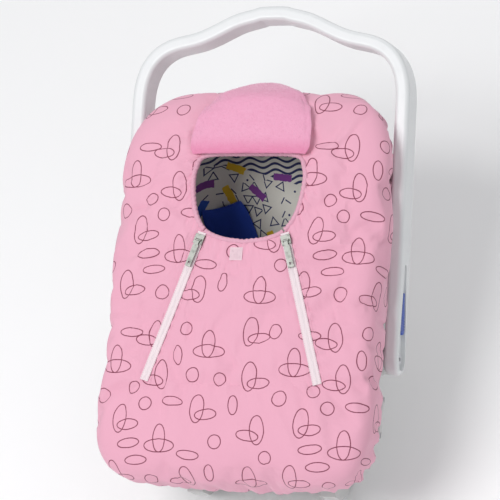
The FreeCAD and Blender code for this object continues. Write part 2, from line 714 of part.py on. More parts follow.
def build_flap():
    """Face flap in two halves, folded back over the head end."""
    fold_end, tip_start, tip_end = flap_ends()
    half = 0.5 * FLAP_W
    root = capsule(FLAP_ROOT[0], FLAP_ROOT[1], fold_end[0], fold_end[1], half)
    keep("flap_upper", rim_place(place_plate(root, FLAP_ROOT[0], FLAP_ROOT[1], fold_end[0], fold_end[1])))
    length = math.hypot(tip_end[0] - tip_start[0], tip_end[1] - tip_start[1])
    tip = capsule(tip_start[0], tip_start[1], tip_end[0], tip_end[1], half)
    edge = []
    for i in range(17):
        angle = math.pi * i / 16.0
        reach = (abs(math.cos(angle)) ** 2.4 + abs(math.sin(angle)) ** 2.4) ** (-1.0 / 2.4)
        edge.append(V(half * math.cos(angle) * reach, (length + 5.0) * math.sin(angle) * reach, -20.0))
    edges = [spline_edge(edge), Part.makeLine(edge[-1], V(-half, -10, -20)),
             Part.makeLine(V(-half, -10, -20), V(half, -10, -20)), Part.makeLine(V(half, -10, -20), edge[0])]
    outline = Part.Face(Part.Wire(edges)).extrude(V(0, 0, 40))
    tip = tip.common(outline)
    keep("flap_tip", rim_place(place_plate(tip, tip_start[0], tip_start[1], tip_end[0], tip_end[1])))


def zip_frame():
    """Placement on the right zip: Y down the zip, Z out of the cover."""
    top = V(*ZIP_TOP)
    along = V(*ZIP_END).sub(top)
    along.normalize()
    across = V(0, 0, 1).cross(along)
    across.normalize()
    out = along.cross(across)
    if out.z < 0:
        across = across.negative()
        out = along.cross(across)
    across = along.cross(out)
    matrix = FreeCAD.Matrix(across.x, along.x, out.x, top.x, across.y, along.y, out.y, top.y,
                            across.z, along.z, out.z, top.z, 0, 0, 0, 1)
    return FreeCAD.Placement(matrix), along, across, out


SLIDER_START = 7.0
SLIDER_LEN = 15.0
SLIDER_CLEAR = 0.9
SLIDER_Z = TAPE_LIFT + TAPE_THICK + SLIDER_CLEAR
TAB_PIVOT_Y = 9.0
TAB_PIVOT_Z = 6.0
TAB_LEN = 42.0


def build_zip_parts():
    """Sliders and pull tabs."""
    placement = zip_frame()[0]
    y0 = SLIDER_START
    plate = box(-7.2, 7.2, y0, y0 + SLIDER_LEN, SLIDER_Z, SLIDER_Z + 1.4)
    flanges = [box(-7.2, -6.2, y0, y0 + SLIDER_LEN, 0.9, SLIDER_Z + 1.4), box(6.2, 7.2, y0, y0 + SLIDER_LEN, 0.9, SLIDER_Z + 1.4)]
    posts = [box(x, x + 1.4, y0 + TAB_PIVOT_Y - 1.6, y0 + TAB_PIVOT_Y + 1.6, SLIDER_Z, TAB_PIVOT_Z + 1.6) for x in (-4.6, 3.2)]
    pin = Part.makeCylinder(0.9, 8.0, V(-4.0, y0 + TAB_PIVOT_Y, TAB_PIVOT_Z), X_AXIS)
    slider = fuse([plate] + flanges + posts + [pin])
    tab = box(-2.9, 2.9, y0 + TAB_PIVOT_Y, y0 + TAB_PIVOT_Y + TAB_LEN, TAB_PIVOT_Z - 0.8, TAB_PIVOT_Z + 0.8)
    wide = box(-4.4, 4.4, y0 + TAB_PIVOT_Y + 8.0, y0 + TAB_PIVOT_Y + TAB_LEN, TAB_PIVOT_Z - 0.8, TAB_PIVOT_Z + 0.8)
    eye = Part.makeCylinder(1.7, 5.8, V(-2.9, y0 + TAB_PIVOT_Y, TAB_PIVOT_Z), X_AXIS)
    tab = fuse([tab, wide, eye])
    tab = tab.cut(Part.makeCylinder(0.9 + RUN_FIT, 8.0, V(-4.0, y0 + TAB_PIVOT_Y, TAB_PIVOT_Z), X_AXIS))
    tab = tab.cut(box(-1.6, 1.6, y0 + TAB_PIVOT_Y + TAB_LEN - 8.0, y0 + TAB_PIVOT_Y + TAB_LEN - 4.0, -10, 20))
    for name, shape in (("zip_slider", slider), ("zip_pull", tab)):
        placed = shape.copy()
        placed.Placement = placement
        right = rim_place(Part.makeCompound([placed]))
        keep(name + "_right", right.Solids[0])
        keep(name + "_left", mirror(right.Solids[0]))


# --- handle ---------------------------------------------------------------
def handle_curve():
    """Middle line of the right half of the handle top."""
    curve = Part.BSplineCurve()
    scale = (ARM_INNER_X + 0.5 * ARM_THICK) / CREST[0][0]
    points = [V(x * scale, y, 0) for x, y in CREST]
    curve.interpolate(points, InitialTangent=V(0, 1, 0), FinalTangent=V(-1, 0, 0))
    return curve


def arm_section():
    """Rounded rectangular section of an arm at the right pivot."""
    x0 = ARM_INNER_X
    x1 = ARM_INNER_X + ARM_THICK
    z = 0.5 * ARM_DEPTH
    r = ARM_ROUND
    k = r * (1.0 - math.sqrt(0.5))
    edges = []
    corners = (
        ((x1 - r, z), (x1 - k, z - k), (x1, z - r), (x1, r - z)),
        ((x1, r - z), (x1 - k, k - z), (x1 - r, -z), (x0 + r, -z)),
        ((x0 + r, -z), (x0 + k, k - z), (x0, r - z), (x0, z - r)),
        ((x0, z - r), (x0 + k, z - k), (x0 + r, z), (x1 - r, z)),
    )
    for a, b, c, d in corners:
        edges.append(Part.Arc(V(a[0], 0, a[1]), V(b[0], 0, b[1]), V(c[0], 0, c[1])).toShape())
        edges.append(Part.makeLine(V(c[0], 0, c[1]), V(d[0], 0, d[1])))
    return Part.Wire(edges)


def handle_body():
    """Two straight arms, a lofted top and a round hub at each end."""
    curve = handle_curve()
    length = curve.length()
    sections = []
    for i in range(CREST_SECTIONS + 1):
        u = curve.parameterAtDistance(length * i / CREST_SECTIONS, curve.FirstParameter)
        point = curve.value(u)
        tangent = curve.tangent(u)[0]
        turn = math.degrees(math.atan2(-tangent.x, tangent.y))
        section = arm_section()
        section.translate(V(-ARM_INNER_X - 0.5 * ARM_THICK, 0, 0))
        section.Placement = FreeCAD.Placement(point, FreeCAD.Rotation(V(0, 0, 1), turn)).multiply(section.Placement)
        sections.append(section)
    top = Part.makeLoft(sections, True, True)
    arm = Part.Face(arm_section()).extrude(V(0, CREST[0][1], 0))
    hub = Part.makeCylinder(0.5 * ARM_DEPTH, ARM_THICK, V(ARM_INNER_X, 0, 0), X_AXIS)
    hub = hub.makeFillet(ARM_ROUND, [e for e in hub.Edges if e.BoundBox.XLength < 0.01])
    low = box(ARM_INNER_X - 1.0, ARM_INNER_X + ARM_THICK + 1.0, -60.0, 0.0, -60.0, 60.0)
    hub = hub.common(low)
    return top.multiFuse([mirror(top), arm, mirror(arm), hub, mirror(hub)])


def teardrop(r_hub, tip_y, tip_r, x0, x1, shift=0.0):
    """Tapered body along the arm, round at the hub and narrow at its top."""
    sin_a = (r_hub - tip_r) / (tip_y - shift)
    cos_a = math.sqrt(1.0 - sin_a ** 2)
    pts = [
        V(x0, shift + r_hub * sin_a, r_hub * cos_a), V(x0, tip_y + tip_r * sin_a, tip_r * cos_a),
        V(x0, tip_y + tip_r, 0), V(x0, tip_y + tip_r * sin_a, -tip_r * cos_a),
        V(x0, shift + r_hub * sin_a, -r_hub * cos_a), V(x0, shift - r_hub, 0),
    ]
    edges = [Part.makeLine(pts[0], pts[1]), Part.Arc(pts[1], pts[2], pts[3]).toShape(),
             Part.makeLine(pts[3], pts[4]), Part.Arc(pts[4], pts[5], pts[0]).toShape()]
    return Part.Face(Part.Wire(edges)).extrude(V(x1 - x0, 0, 0))


def build_handle():
    """Carry handle, locks, buttons, springs and pivots."""
    body = handle_body()
    outer_x = ARM_INNER_X + ARM_THICK
    tools = []
    recess = teardrop(RECESS_HUB_R, RECESS_TOP - 4.0, 4.0, outer_x - RECESS_DEPTH, outer_x + 2.0)
    tools.append(recess)
    tools.append(Part.makeCylinder(DETENT_R + 1.5, HUB_POCKET_DEPTH + 1.0, V(ARM_INNER_X - 1.0, 0, 0), X_AXIS))
    track = box(ARM_INNER_X - 1.0, ARM_INNER_X + HUB_POCKET_DEPTH, 12.0, 72.0, -0.5 * LOCK_W - 0.4, 0.5 * LOCK_W + 0.4)
    tools.append(track)
    mid = box(ARM_INNER_X, outer_x - 1.0, 40.0, 60.0, -0.5 * LOCK_W - 0.4, 0.5 * LOCK_W + 0.4)
    tools.append(mid)
    tools.append(Part.makeCylinder(PIVOT_PIN_R + RUN_FIT, 40.0, V(ARM_INNER_X - 5.0, 0, 0), X_AXIS))
    for tool in tools:
        body = body.cut(tool).cut(mirror(tool))
    keep("carry_handle", handle_place(body))

    floor_x = outer_x - RECESS_DEPTH
    r_low = 0.5 * BUTTON_W_LOW
    r_top = 0.5 * BUTTON_W_TOP
    button = teardrop(r_low, BUTTON_FROM + BUTTON_LEN - r_top, r_top, floor_x + 0.3, outer_x - 0.6, BUTTON_FROM + r_low)
    ridge = [box(outer_x - 1.2, outer_x, BUTTON_FROM + 6.0 + 4.0 * i, BUTTON_FROM + 7.6 + 4.0 * i, -20, 20) for i in range(5)]
    for groove in ridge:
        button = button.cut(groove)
    stem = box(ARM_INNER_X + 1.0, floor_x + 1.0, 41.0, 52.0, -0.5 * LOCK_W, 0.5 * LOCK_W)
    bar = box(ARM_INNER_X + 1.0, ARM_INNER_X + 6.6, LOCK_FROM, LOCK_FROM + LOCK_LEN, -0.5 * LOCK_W, 0.5 * LOCK_W)
    lock = bar
    post = stem.cut(box(ARM_INNER_X, ARM_INNER_X + 6.9, 0, 80, -20, 20))
    keep("release_button_right", handle_place(fuse([button, post])))
    keep("release_button_left", handle_place(mirror(fuse([button, post]))))
    keep("lock_bar_right", handle_place(lock))
    keep("lock_bar_left", handle_place(mirror(lock)))

    helix = Part.makeHelix(2.6, 20.8, 2.1)
    ring = Part.Wire([Part.makeCircle(0.45, V(2.1, 0, 0), V(0, 1, 0))])
    coil = Part.Wire(helix).makePipeShell([ring], True, True)
    coil.Placement = FreeCAD.Placement(V(ARM_INNER_X + 3.8, LOCK_FROM + LOCK_LEN + 0.8, 0), FreeCAD.Rotation(X_AXIS, -90.0))
    spring = Part.makeCompound([coil])
    keep("lock_spring_right", handle_place(spring))
    keep("lock_spring_left", handle_place(mirror(spring)))

    disc = Part.makeCylinder(DETENT_R, 13.0, V(BOSS_END_X + 0.2, 0, 0), X_AXIS)
    for angle in DETENT_ANGLES:
        notch = box(ARM_INNER_X - 8.0, ARM_INNER_X + 8.0, DETENT_R - 3.4, DETENT_R + 3.0, -0.5 * LOCK_W - 0.3, 0.5 * LOCK_W + 0.3)
        notch.rotate(V(0, 0, 0), X_AXIS, angle)
        disc = disc.cut(notch)
    disc = disc.cut(Part.makeCylinder(PIVOT_PIN_R, 30.0, V(BOSS_END_X - 2.0, 0, 0), X_AXIS))
    keep("detent_disc_right", handle_place(disc))
    keep("detent_disc_left", handle_place(mirror(disc)))

    shank = Part.makeCylinder(PIVOT_PIN_R, floor_x + 0.2 - 174.0, V(174.0, 0, 0), X_AXIS)
    head = Part.makeCylinder(10.0, 3.0, V(floor_x + 0.2, 0, 0), X_AXIS)
    head = head.makeFillet(1.0, [e for e in head.Edges if e.BoundBox.XMin > floor_x + 3.0])
    hexagon = [(5.0 * math.cos(math.radians(60 * i)) * 0.7, 5.0 * math.sin(math.radians(60 * i)) * 0.7) for i in range(6)]
    socket = profile_plate(hexagon, floor_x + 1.4, floor_x + 5.0)
    pin = fuse([shank, head]).cut(socket)
    keep("pivot_bolt_right", handle_place(pin))
    keep("pivot_bolt_left", handle_place(mirror(pin)))


def main():
    """Build every node and write the STEP files."""
    os.makedirs("parts", exist_ok=True)
    keep("shell", rim_place(build_shell()))
    keep("base_frame", build_base())
    keep("rubber_feet", build_feet())
    keep("base_screws", build_base_screws())
    foam_out = SHELL_WALL + LINER_GAP
    foam_in = foam_out + FOAM_THICK
    keep("foam_head", rim_place(build_liner(foam_out, foam_in, FOAM_SPLIT + 0.3, 400.0)))
    keep("foam_seat", rim_place(build_liner(foam_out, foam_in, -300.0, FOAM_SPLIT - 0.3)))
    keep("seat_pad", rim_place(build_liner(PAD_OUT, PAD_IN, -300.0, 400.0)))
    for side, name in ((-1.0, "left"), (1.0, "right")):
        keep("shoulder_strap_" + name, rim_place(build_shoulder_strap(side)))
        keep("shoulder_pad_" + name, rim_place(build_shoulder_pad(side)))
        keep("chest_clip_" + name, rim_place(build_chest_clip(side)))
        keep("buckle_tongue_" + name, rim_place(build_tongue(side)))
        keep("belt_guide_" + name, rim_place(build_guide(side)))
    keep("crotch_strap", rim_place(build_crotch_strap()))
    keep("crotch_anchor", rim_place(build_anchor()))
    keep("buckle_housing", rim_place(build_buckle()))
    keep("buckle_button", rim_place(build_buckle_button()))
    keep("harness_yoke", rim_place(build_yoke()))
    keep("adjuster_strap", rim_place(build_adjust_strap()))
    keep("harness_adjuster", rim_place(build_adjuster()))
    keep("guide_screws", build_guide_screws())
    build_cover()
    build_flap()
    build_zip_parts()
    build_handle()
    for name, shape in NODES.items():
        shape.exportStep("parts/" + name + ".step")


main()
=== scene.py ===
"""Looks of an infant car seat with a zip-front cover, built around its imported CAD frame.

Sizes in the classes are millimetres in the rim frame: x across, s along the seat
rim toward the head end, h out of the seat.  RimFrame turns them into metres.
"""

import json
import logging
import math
import random
from dataclasses import dataclass, field
from enum import Enum
from typing import Callable, Iterable, Optional, Sequence, Union

import bmesh
import bpy
import numpy as np
from mathutils import Matrix, Vector, noise
from mathutils.bvhtree import BVHTree


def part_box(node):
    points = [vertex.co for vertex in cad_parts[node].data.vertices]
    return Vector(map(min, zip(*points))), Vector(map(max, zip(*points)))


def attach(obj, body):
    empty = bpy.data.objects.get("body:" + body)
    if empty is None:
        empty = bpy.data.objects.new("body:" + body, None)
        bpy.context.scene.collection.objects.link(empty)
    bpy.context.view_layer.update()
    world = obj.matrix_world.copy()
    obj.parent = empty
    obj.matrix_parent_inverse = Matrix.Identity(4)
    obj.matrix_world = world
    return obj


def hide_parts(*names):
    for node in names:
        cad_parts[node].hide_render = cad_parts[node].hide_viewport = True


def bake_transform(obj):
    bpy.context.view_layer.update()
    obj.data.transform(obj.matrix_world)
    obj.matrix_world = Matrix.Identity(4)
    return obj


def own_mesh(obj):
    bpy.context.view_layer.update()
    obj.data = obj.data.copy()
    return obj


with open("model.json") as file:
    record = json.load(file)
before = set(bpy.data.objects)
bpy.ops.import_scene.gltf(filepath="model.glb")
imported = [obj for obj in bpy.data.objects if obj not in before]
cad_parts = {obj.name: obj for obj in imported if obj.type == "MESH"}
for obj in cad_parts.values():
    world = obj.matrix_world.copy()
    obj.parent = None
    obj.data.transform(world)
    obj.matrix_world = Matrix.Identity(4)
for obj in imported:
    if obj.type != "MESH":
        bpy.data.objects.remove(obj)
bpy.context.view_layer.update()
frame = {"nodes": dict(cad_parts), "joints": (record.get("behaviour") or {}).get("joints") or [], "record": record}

LOG = logging.getLogger("car_seat")
Grid = np.ndarray
Material = bpy.types.Material
Piece = bpy.types.Object
Value = Union[float, int, "Sock"]
MM = 0.001


# Node maths
class Sock:
    """A value socket that can be written into expressions."""

    def __init__(self, shader: "Shader", socket: bpy.types.NodeSocket) -> None:
        """Wrap one output socket of a shader's tree."""
        self.shader = shader
        self.socket = socket

    def math(self, operation: str, *others: Value) -> "Sock":
        """Math node with this value first.

        Args:
            operation: Name of the Math node's operation.
            others: Remaining inputs.

        Returns:
            The result.
        """
        return self.shader.math(operation, self, *others)

    def __add__(self, other: Value) -> "Sock":
        """Sum."""
        return self.math("ADD", other)

    __radd__ = __add__

    def __sub__(self, other: Value) -> "Sock":
        """Difference."""
        return self.math("SUBTRACT", other)

    def __rsub__(self, other: Value) -> "Sock":
        """Difference, reflected."""
        return self.shader.math("SUBTRACT", other, self)

    def __mul__(self, other: Value) -> "Sock":
        """Product."""
        return self.math("MULTIPLY", other)

    __rmul__ = __mul__

    def __truediv__(self, other: Value) -> "Sock":
        """Quotient."""
        return self.math("DIVIDE", other)

    def __rtruediv__(self, other: Value) -> "Sock":
        """Quotient, reflected."""
        return self.shader.math("DIVIDE", other, self)

    def step_down(self, edge: float, soft: float) -> "Sock":
        """1 below an edge and 0 above it, with a soft change.

        Args:
            edge: Value where the result is a half.
            soft: Half width of the change.

        Returns:
            The mask.
        """
        low, high = edge - soft, edge + soft
        settings = {"interpolation_type": "SMOOTHSTEP", "clamp": True}
        inputs = {"Value": self, "From Min": low, "From Max": high, "To Min": 1.0, "To Max": 0.0}
        return self.shader.node("ShaderNodeMapRange", settings, inputs)

    def step_up(self, edge: float, soft: float) -> "Sock":
        """0 below an edge and 1 above it."""
        return 1.0 - self.step_down(edge, soft)


class Shader:
    """Node tree of one material with a single Principled surface."""

    def __init__(self, name: str) -> None:
        """Start an empty material."""
        self.material = bpy.data.materials.new(name)
        self.material.use_nodes = True
        self.tree = self.material.node_tree
        self.tree.nodes.clear()

    def node(self, kind: str, settings: Optional[dict] = None, inputs: Optional[dict] = None,
             out: Union[int, str] = 0) -> Sock:
        """Add one node.

        Args:
            kind: Node type.
            settings: Properties set first; "stops" holds a ramp's colours, which don't blend.
            inputs: Values or links by socket name or number.
            out: Output to hand back.

        Returns:
            The chosen output.
        """
        made = self.tree.nodes.new(kind)
        for key, value in (settings or {}).items():
            if key == "stops":
                ramp = made.color_ramp
                ramp.interpolation = "CONSTANT"
                while len(ramp.elements) < len(value):
                    ramp.elements.new(0.5)
                for element, (place, colour) in zip(ramp.elements, value):
                    element.position = place
                    element.color = (*colour, 1.0)
            else:
                setattr(made, key, value)
        for key, value in (inputs or {}).items():
            self.plug(made.inputs[key], value)
        return Sock(self, made.outputs[out]) if len(made.outputs) else Sock(self, None)

    def plug(self, socket: bpy.types.NodeSocket, value: object) -> None:
        """Link a socket or set its value."""
        if isinstance(value, Sock):
            self.tree.links.new(value.socket, socket)
        elif isinstance(value, (tuple, list)) and len(value) == 3 and socket.type == "RGBA":
            socket.default_value = (*value, 1.0)
        else:
            socket.default_value = value

    def math(self, operation: str, *values: Value) -> Sock:
        """Math node on numbers or sockets."""
        return self.node("ShaderNodeMath", {"operation": operation}, dict(enumerate(values)))

    def vector(self, operation: str, *values: object, out: Union[int, str] = 0) -> Sock:
        """Vector Math node."""
        return self.node("ShaderNodeVectorMath", {"operation": operation}, dict(enumerate(values)), out)

    def mix(self, share: Value, first: object, second: object, blend: str = "MIX") -> Sock:
        """Mix two colours.

        Args:
            share: Share of the second colour.
            first: Colour or socket.
            second: Colour or socket.
            blend: Name of the blend.

        Returns:
            The mixed colour.
        """
        settings = {"data_type": "RGBA", "blend_type": blend}
        return self.node("ShaderNodeMix", settings, {0: share, 6: first, 7: second}, 2)

    def place(self, attribute: str = "") -> Sock:
        """Object position, or a named vector of the mesh."""
        if attribute:
            settings = {"attribute_name": attribute, "attribute_type": "GEOMETRY"}
            return self.node("ShaderNodeAttribute", settings, None, "Vector")
        return self.node("ShaderNodeTexCoord", None, None, "Object")

    def noise(self, where: Sock, scale: float, detail: float = 2.0, rough: float = 0.5) -> Sock:
        """Noise from 0 to 1 at a scale per metre."""
        inputs = {"Vector": where, "Scale": scale, "Detail": detail, "Roughness": rough}
        return self.node("ShaderNodeTexNoise", None, inputs, 0)

    def parts(self, where: Sock) -> tuple[Sock, Sock, Sock]:
        """X, Y and Z of a vector."""
        split = self.node("ShaderNodeSeparateXYZ", None, {0: where}).socket.node
        return tuple(Sock(self, output) for output in split.outputs)

    def bump(self, height: Sock, depth: float, strength: float = 1.0) -> Sock:
        """Bump normal.

        Args:
            height: Height from 0 to 1.
            depth: Height of 1, in metres.
            strength: Strength of the effect.

        Returns:
            The normal.
        """
        return self.node("ShaderNodeBump", None, {"Height": height, "Distance": depth, "Strength": strength})

    def finish(self, inputs: dict) -> Material:
        """Close the tree with a Principled surface.

        Args:
            inputs: Values or links by socket name.

        Returns:
            The material.
        """
        surface = self.node("ShaderNodeBsdfPrincipled", None, inputs)
        self.node("ShaderNodeOutputMaterial", None, {"Surface": surface})
        return self.material


# Finishes
Colour = tuple[float, float, float]


@dataclass(frozen=True)
class Moulded:
    """Injection-moulded plastic with fine grain, faint flow marks and rubbed spots."""

    name: str
    colour: Colour
    roughness: float = 0.38
    grain: float = 900.0
    grain_depth: float = 0.00006
    wear: float = 0.04
    coat: float = 0.0

    def build(self) -> Material:
        """Make the material."""
        sh = Shader(self.name)
        where = sh.place()
        cloud = sh.noise(where, 9.0, 3.0)
        rub = sh.noise(where, 60.0, 4.0, 0.6).step_up(0.62, 0.10)
        fine = sh.noise(where, self.grain, 2.0)
        tone = tuple(c * (1.0 - self.wear * 2.0) for c in self.colour)
        base = sh.mix(cloud * 0.5 + rub * 0.25, self.colour, tone)
        rough = self.roughness + (fine - 0.5) * 0.12 + rub * 0.10
        return sh.finish({"Base Color": base, "Roughness": rough, "Coat Weight": self.coat,
                          "Coat Roughness": 0.2, "Normal": sh.bump(fine, self.grain_depth, 0.5)})


@dataclass(frozen=True)
class Metal:
    """Plated metal with drawn scratches and dulled patches."""

    name: str
    colour: Colour
    roughness: float = 0.28
    metallic: float = 1.0

    def build(self) -> Material:
        """Make the material."""
        sh = Shader(self.name)
        where = sh.place()
        stretched = sh.vector("MULTIPLY", where, (2600.0, 260.0, 900.0))
        scratch = sh.node("ShaderNodeTexNoise", None, {"Vector": stretched, "Scale": 1.0, "Detail": 3.0})
        dull = sh.noise(where, 140.0, 3.0).step_up(0.55, 0.12)
        base = sh.mix(dull * 0.5, self.colour, tuple(c * 0.78 for c in self.colour))
        rough = self.roughness + scratch * 0.14 + dull * 0.12
        return sh.finish({"Base Color": base, "Roughness": rough, "Metallic": self.metallic,
                          "Normal": sh.bump(scratch, 0.00004, 0.4)})


@dataclass(frozen=True)
class BeadFoam:
    """Expanded bead foam with cells that show."""

    name: str
    colour: Colour

    def build(self) -> Material:
        """Make the material."""
        sh = Shader(self.name)
        where = sh.place()
        cells = sh.node("ShaderNodeTexVoronoi", {"feature": "DISTANCE_TO_EDGE"},
                        {"Vector": where, "Scale": 320.0})
        seam = cells.step_down(0.08, 0.06)
        base = sh.mix(seam * 0.5, self.colour, tuple(c * 0.8 for c in self.colour))
        return sh.finish({"Base Color": base, "Roughness": 0.8 + seam * 0.1,
                          "Normal": sh.bump(cells, 0.0006, 0.5)})


@dataclass(frozen=True)
class Webbing:
    """Woven webbing with raised bars across and fine rows along."""

    name: str
    colour: Colour
    bar_pitch: float = 0.0019
    row_pitch: float = 0.0016
    lean_pitch: float = 0.0032

    def build(self) -> Material:
        """Make the material; the mesh carries width and length in "fabric"."""
        sh = Shader(self.name)
        across, along, _ = sh.parts(sh.place("fabric"))
        lean = (across * (2.0 * math.pi / self.lean_pitch)).math("SINE")
        bars = (along * (2.0 * math.pi / self.bar_pitch) + lean).math("SINE")
        rows = (across * (2.0 * math.pi / self.row_pitch)).math("SINE")
        weave = bars * 0.35 + rows * 0.15 + 0.5
        soil = sh.noise(sh.place(), 45.0, 3.0)
        # Painted highlight: the raised bars and rows of the weave are lighter than the navy between them.
        base = sh.mix(weave * 0.6, self.colour, tuple(min(1.0, c * 1.9 + 0.01) for c in self.colour))
        base = sh.mix(soil * 0.25, base, (0.16, 0.15, 0.14))
        return sh.finish({"Base Color": base, "Roughness": 0.62 + weave * 0.2, "Sheen Weight": 0.15,
                          "Normal": sh.bump(weave, 0.0005, 0.7)})


@dataclass(frozen=True)
class Cotton:
    """Plain woven cotton with thread weave, slubs and a soft nap."""

    name: str
    colour: Colour
    thread: float = 0.0009
    nap: float = 0.25
    depth: float = 0.00035

    def cloth(self, sh: Shader) -> tuple[Sock, Sock]:
        """Weave height and slub tone from the mesh's "fabric" vector.

        Args:
            sh: Shader that takes the nodes.

        Returns:
            Height from 0 to 1, and a tone from 0 to 1.
        """
        where = sh.place("fabric")
        across, along, _ = sh.parts(where)
        turn = 2.0 * math.pi / self.thread
        weave = (across * turn).math("SINE") * (along * turn).math("SINE") * 0.5 + 0.5
        slub = sh.noise(sh.vector("MULTIPLY", where, (260.0, 900.0, 1.0)), 1.0, 2.0)
        fuzz = sh.noise(where, 1400.0, 2.0)
        return weave * 0.45 + slub * 0.35 + fuzz * 0.2, slub

    def build(self) -> Material:
        """Make the material."""
        sh = Shader(self.name)
        height, tone = self.cloth(sh)
        patch = sh.noise(sh.place(), 14.0, 3.0)
        dark = tuple(c * 0.86 for c in self.colour)
        base = sh.mix(tone * 0.35 + patch * 0.3, self.colour, dark)
        return sh.finish({"Base Color": base, "Roughness": 0.82 + tone * 0.1, "Sheen Weight": self.nap,
                          "Sheen Roughness": 0.45, "Normal": sh.bump(height, self.depth, 0.6)})


@dataclass(frozen=True)
class Ring:
    """One outlined ellipse of the cover print, in millimetres of cloth."""

    x: float
    y: float
    rx: float
    ry: float
    tilt: float = 0.0


TILE_X = 276.0
TILE_Y = 284.0


@dataclass(frozen=True)
class PinkPrint:
    """Pink cotton printed with thin stitched-looking outlines of ellipses and circles."""

    name: str
    ground: Colour
    ink: Colour
    line: float = 0.9
    rings: tuple[Ring, ...] = ()

    def print_mask(self, sh: Shader) -> Sock:
        """Mask of the printed outlines.

        Args:
            sh: Shader that takes the nodes.

        Returns:
            1 on a line and 0 off it.
        """
        across, along, _ = sh.parts(sh.place("fabric"))
        wobble = sh.noise(sh.place("fabric"), 55.0, 1.0) - 0.5
        x = (across * 1000.0 + wobble * 1.6) / TILE_X
        y = (along * 1000.0 + wobble * 1.6) / TILE_Y
        x = x.math("FRACT") * TILE_X
        y = y.math("FRACT") * TILE_Y
        spot = sh.node("ShaderNodeCombineXYZ", None, {0: x, 1: y, 2: 0.0})
        nearest = None
        for ring in self.rings:
            local = sh.vector("SUBTRACT", spot, (ring.x, ring.y, 0.0))
            if ring.tilt:
                settings = {"rotation_type": "Z_AXIS"}
                local = sh.node("ShaderNodeVectorRotate", settings,
                                {"Vector": local, "Angle": math.radians(-ring.tilt)})
            unit = sh.vector("DIVIDE", local, (ring.rx, ring.ry, 1.0))
            radius = sh.vector("LENGTH", unit, out="Value")
            steep = sh.vector("LENGTH", sh.vector("DIVIDE", unit, (ring.rx, ring.ry, 1.0)), out="Value")
            gap = ((radius - 1.0) * radius / (steep + 0.0001)).math("ABSOLUTE")
            nearest = gap if nearest is None else nearest.math("MINIMUM", gap)
        grain = sh.noise(sh.place("fabric"), 420.0, 1.0)
        return (nearest.step_down(0.5 * self.line, 0.36) * (0.62 + grain * 0.7)).math("MINIMUM", 1.0)

    def build(self) -> Material:
        """Make the material."""
        sh = Shader(self.name)
        height, tone = Cotton(self.name, self.ground).cloth(sh)
        mask = self.print_mask(sh)
        patch = sh.noise(sh.place(), 7.0, 3.0)
        dark = (self.ground[0] * 0.93, self.ground[1] * 0.84, self.ground[2] * 0.88)
        base = sh.mix(tone * 0.25 + patch * 0.35, self.ground, dark)
        base = sh.mix(mask, base, self.ink)
        puff = sh.noise(sh.place("fabric"), 70.0, 2.0)
        height = height * 0.25 + puff * 0.75
        return sh.finish({"Base Color": base, "Roughness": 0.8 + tone * 0.12, "Sheen Weight": 0.18,
                          "Sheen Roughness": 0.5, "Normal": sh.bump(height, 0.0011, 0.5)})


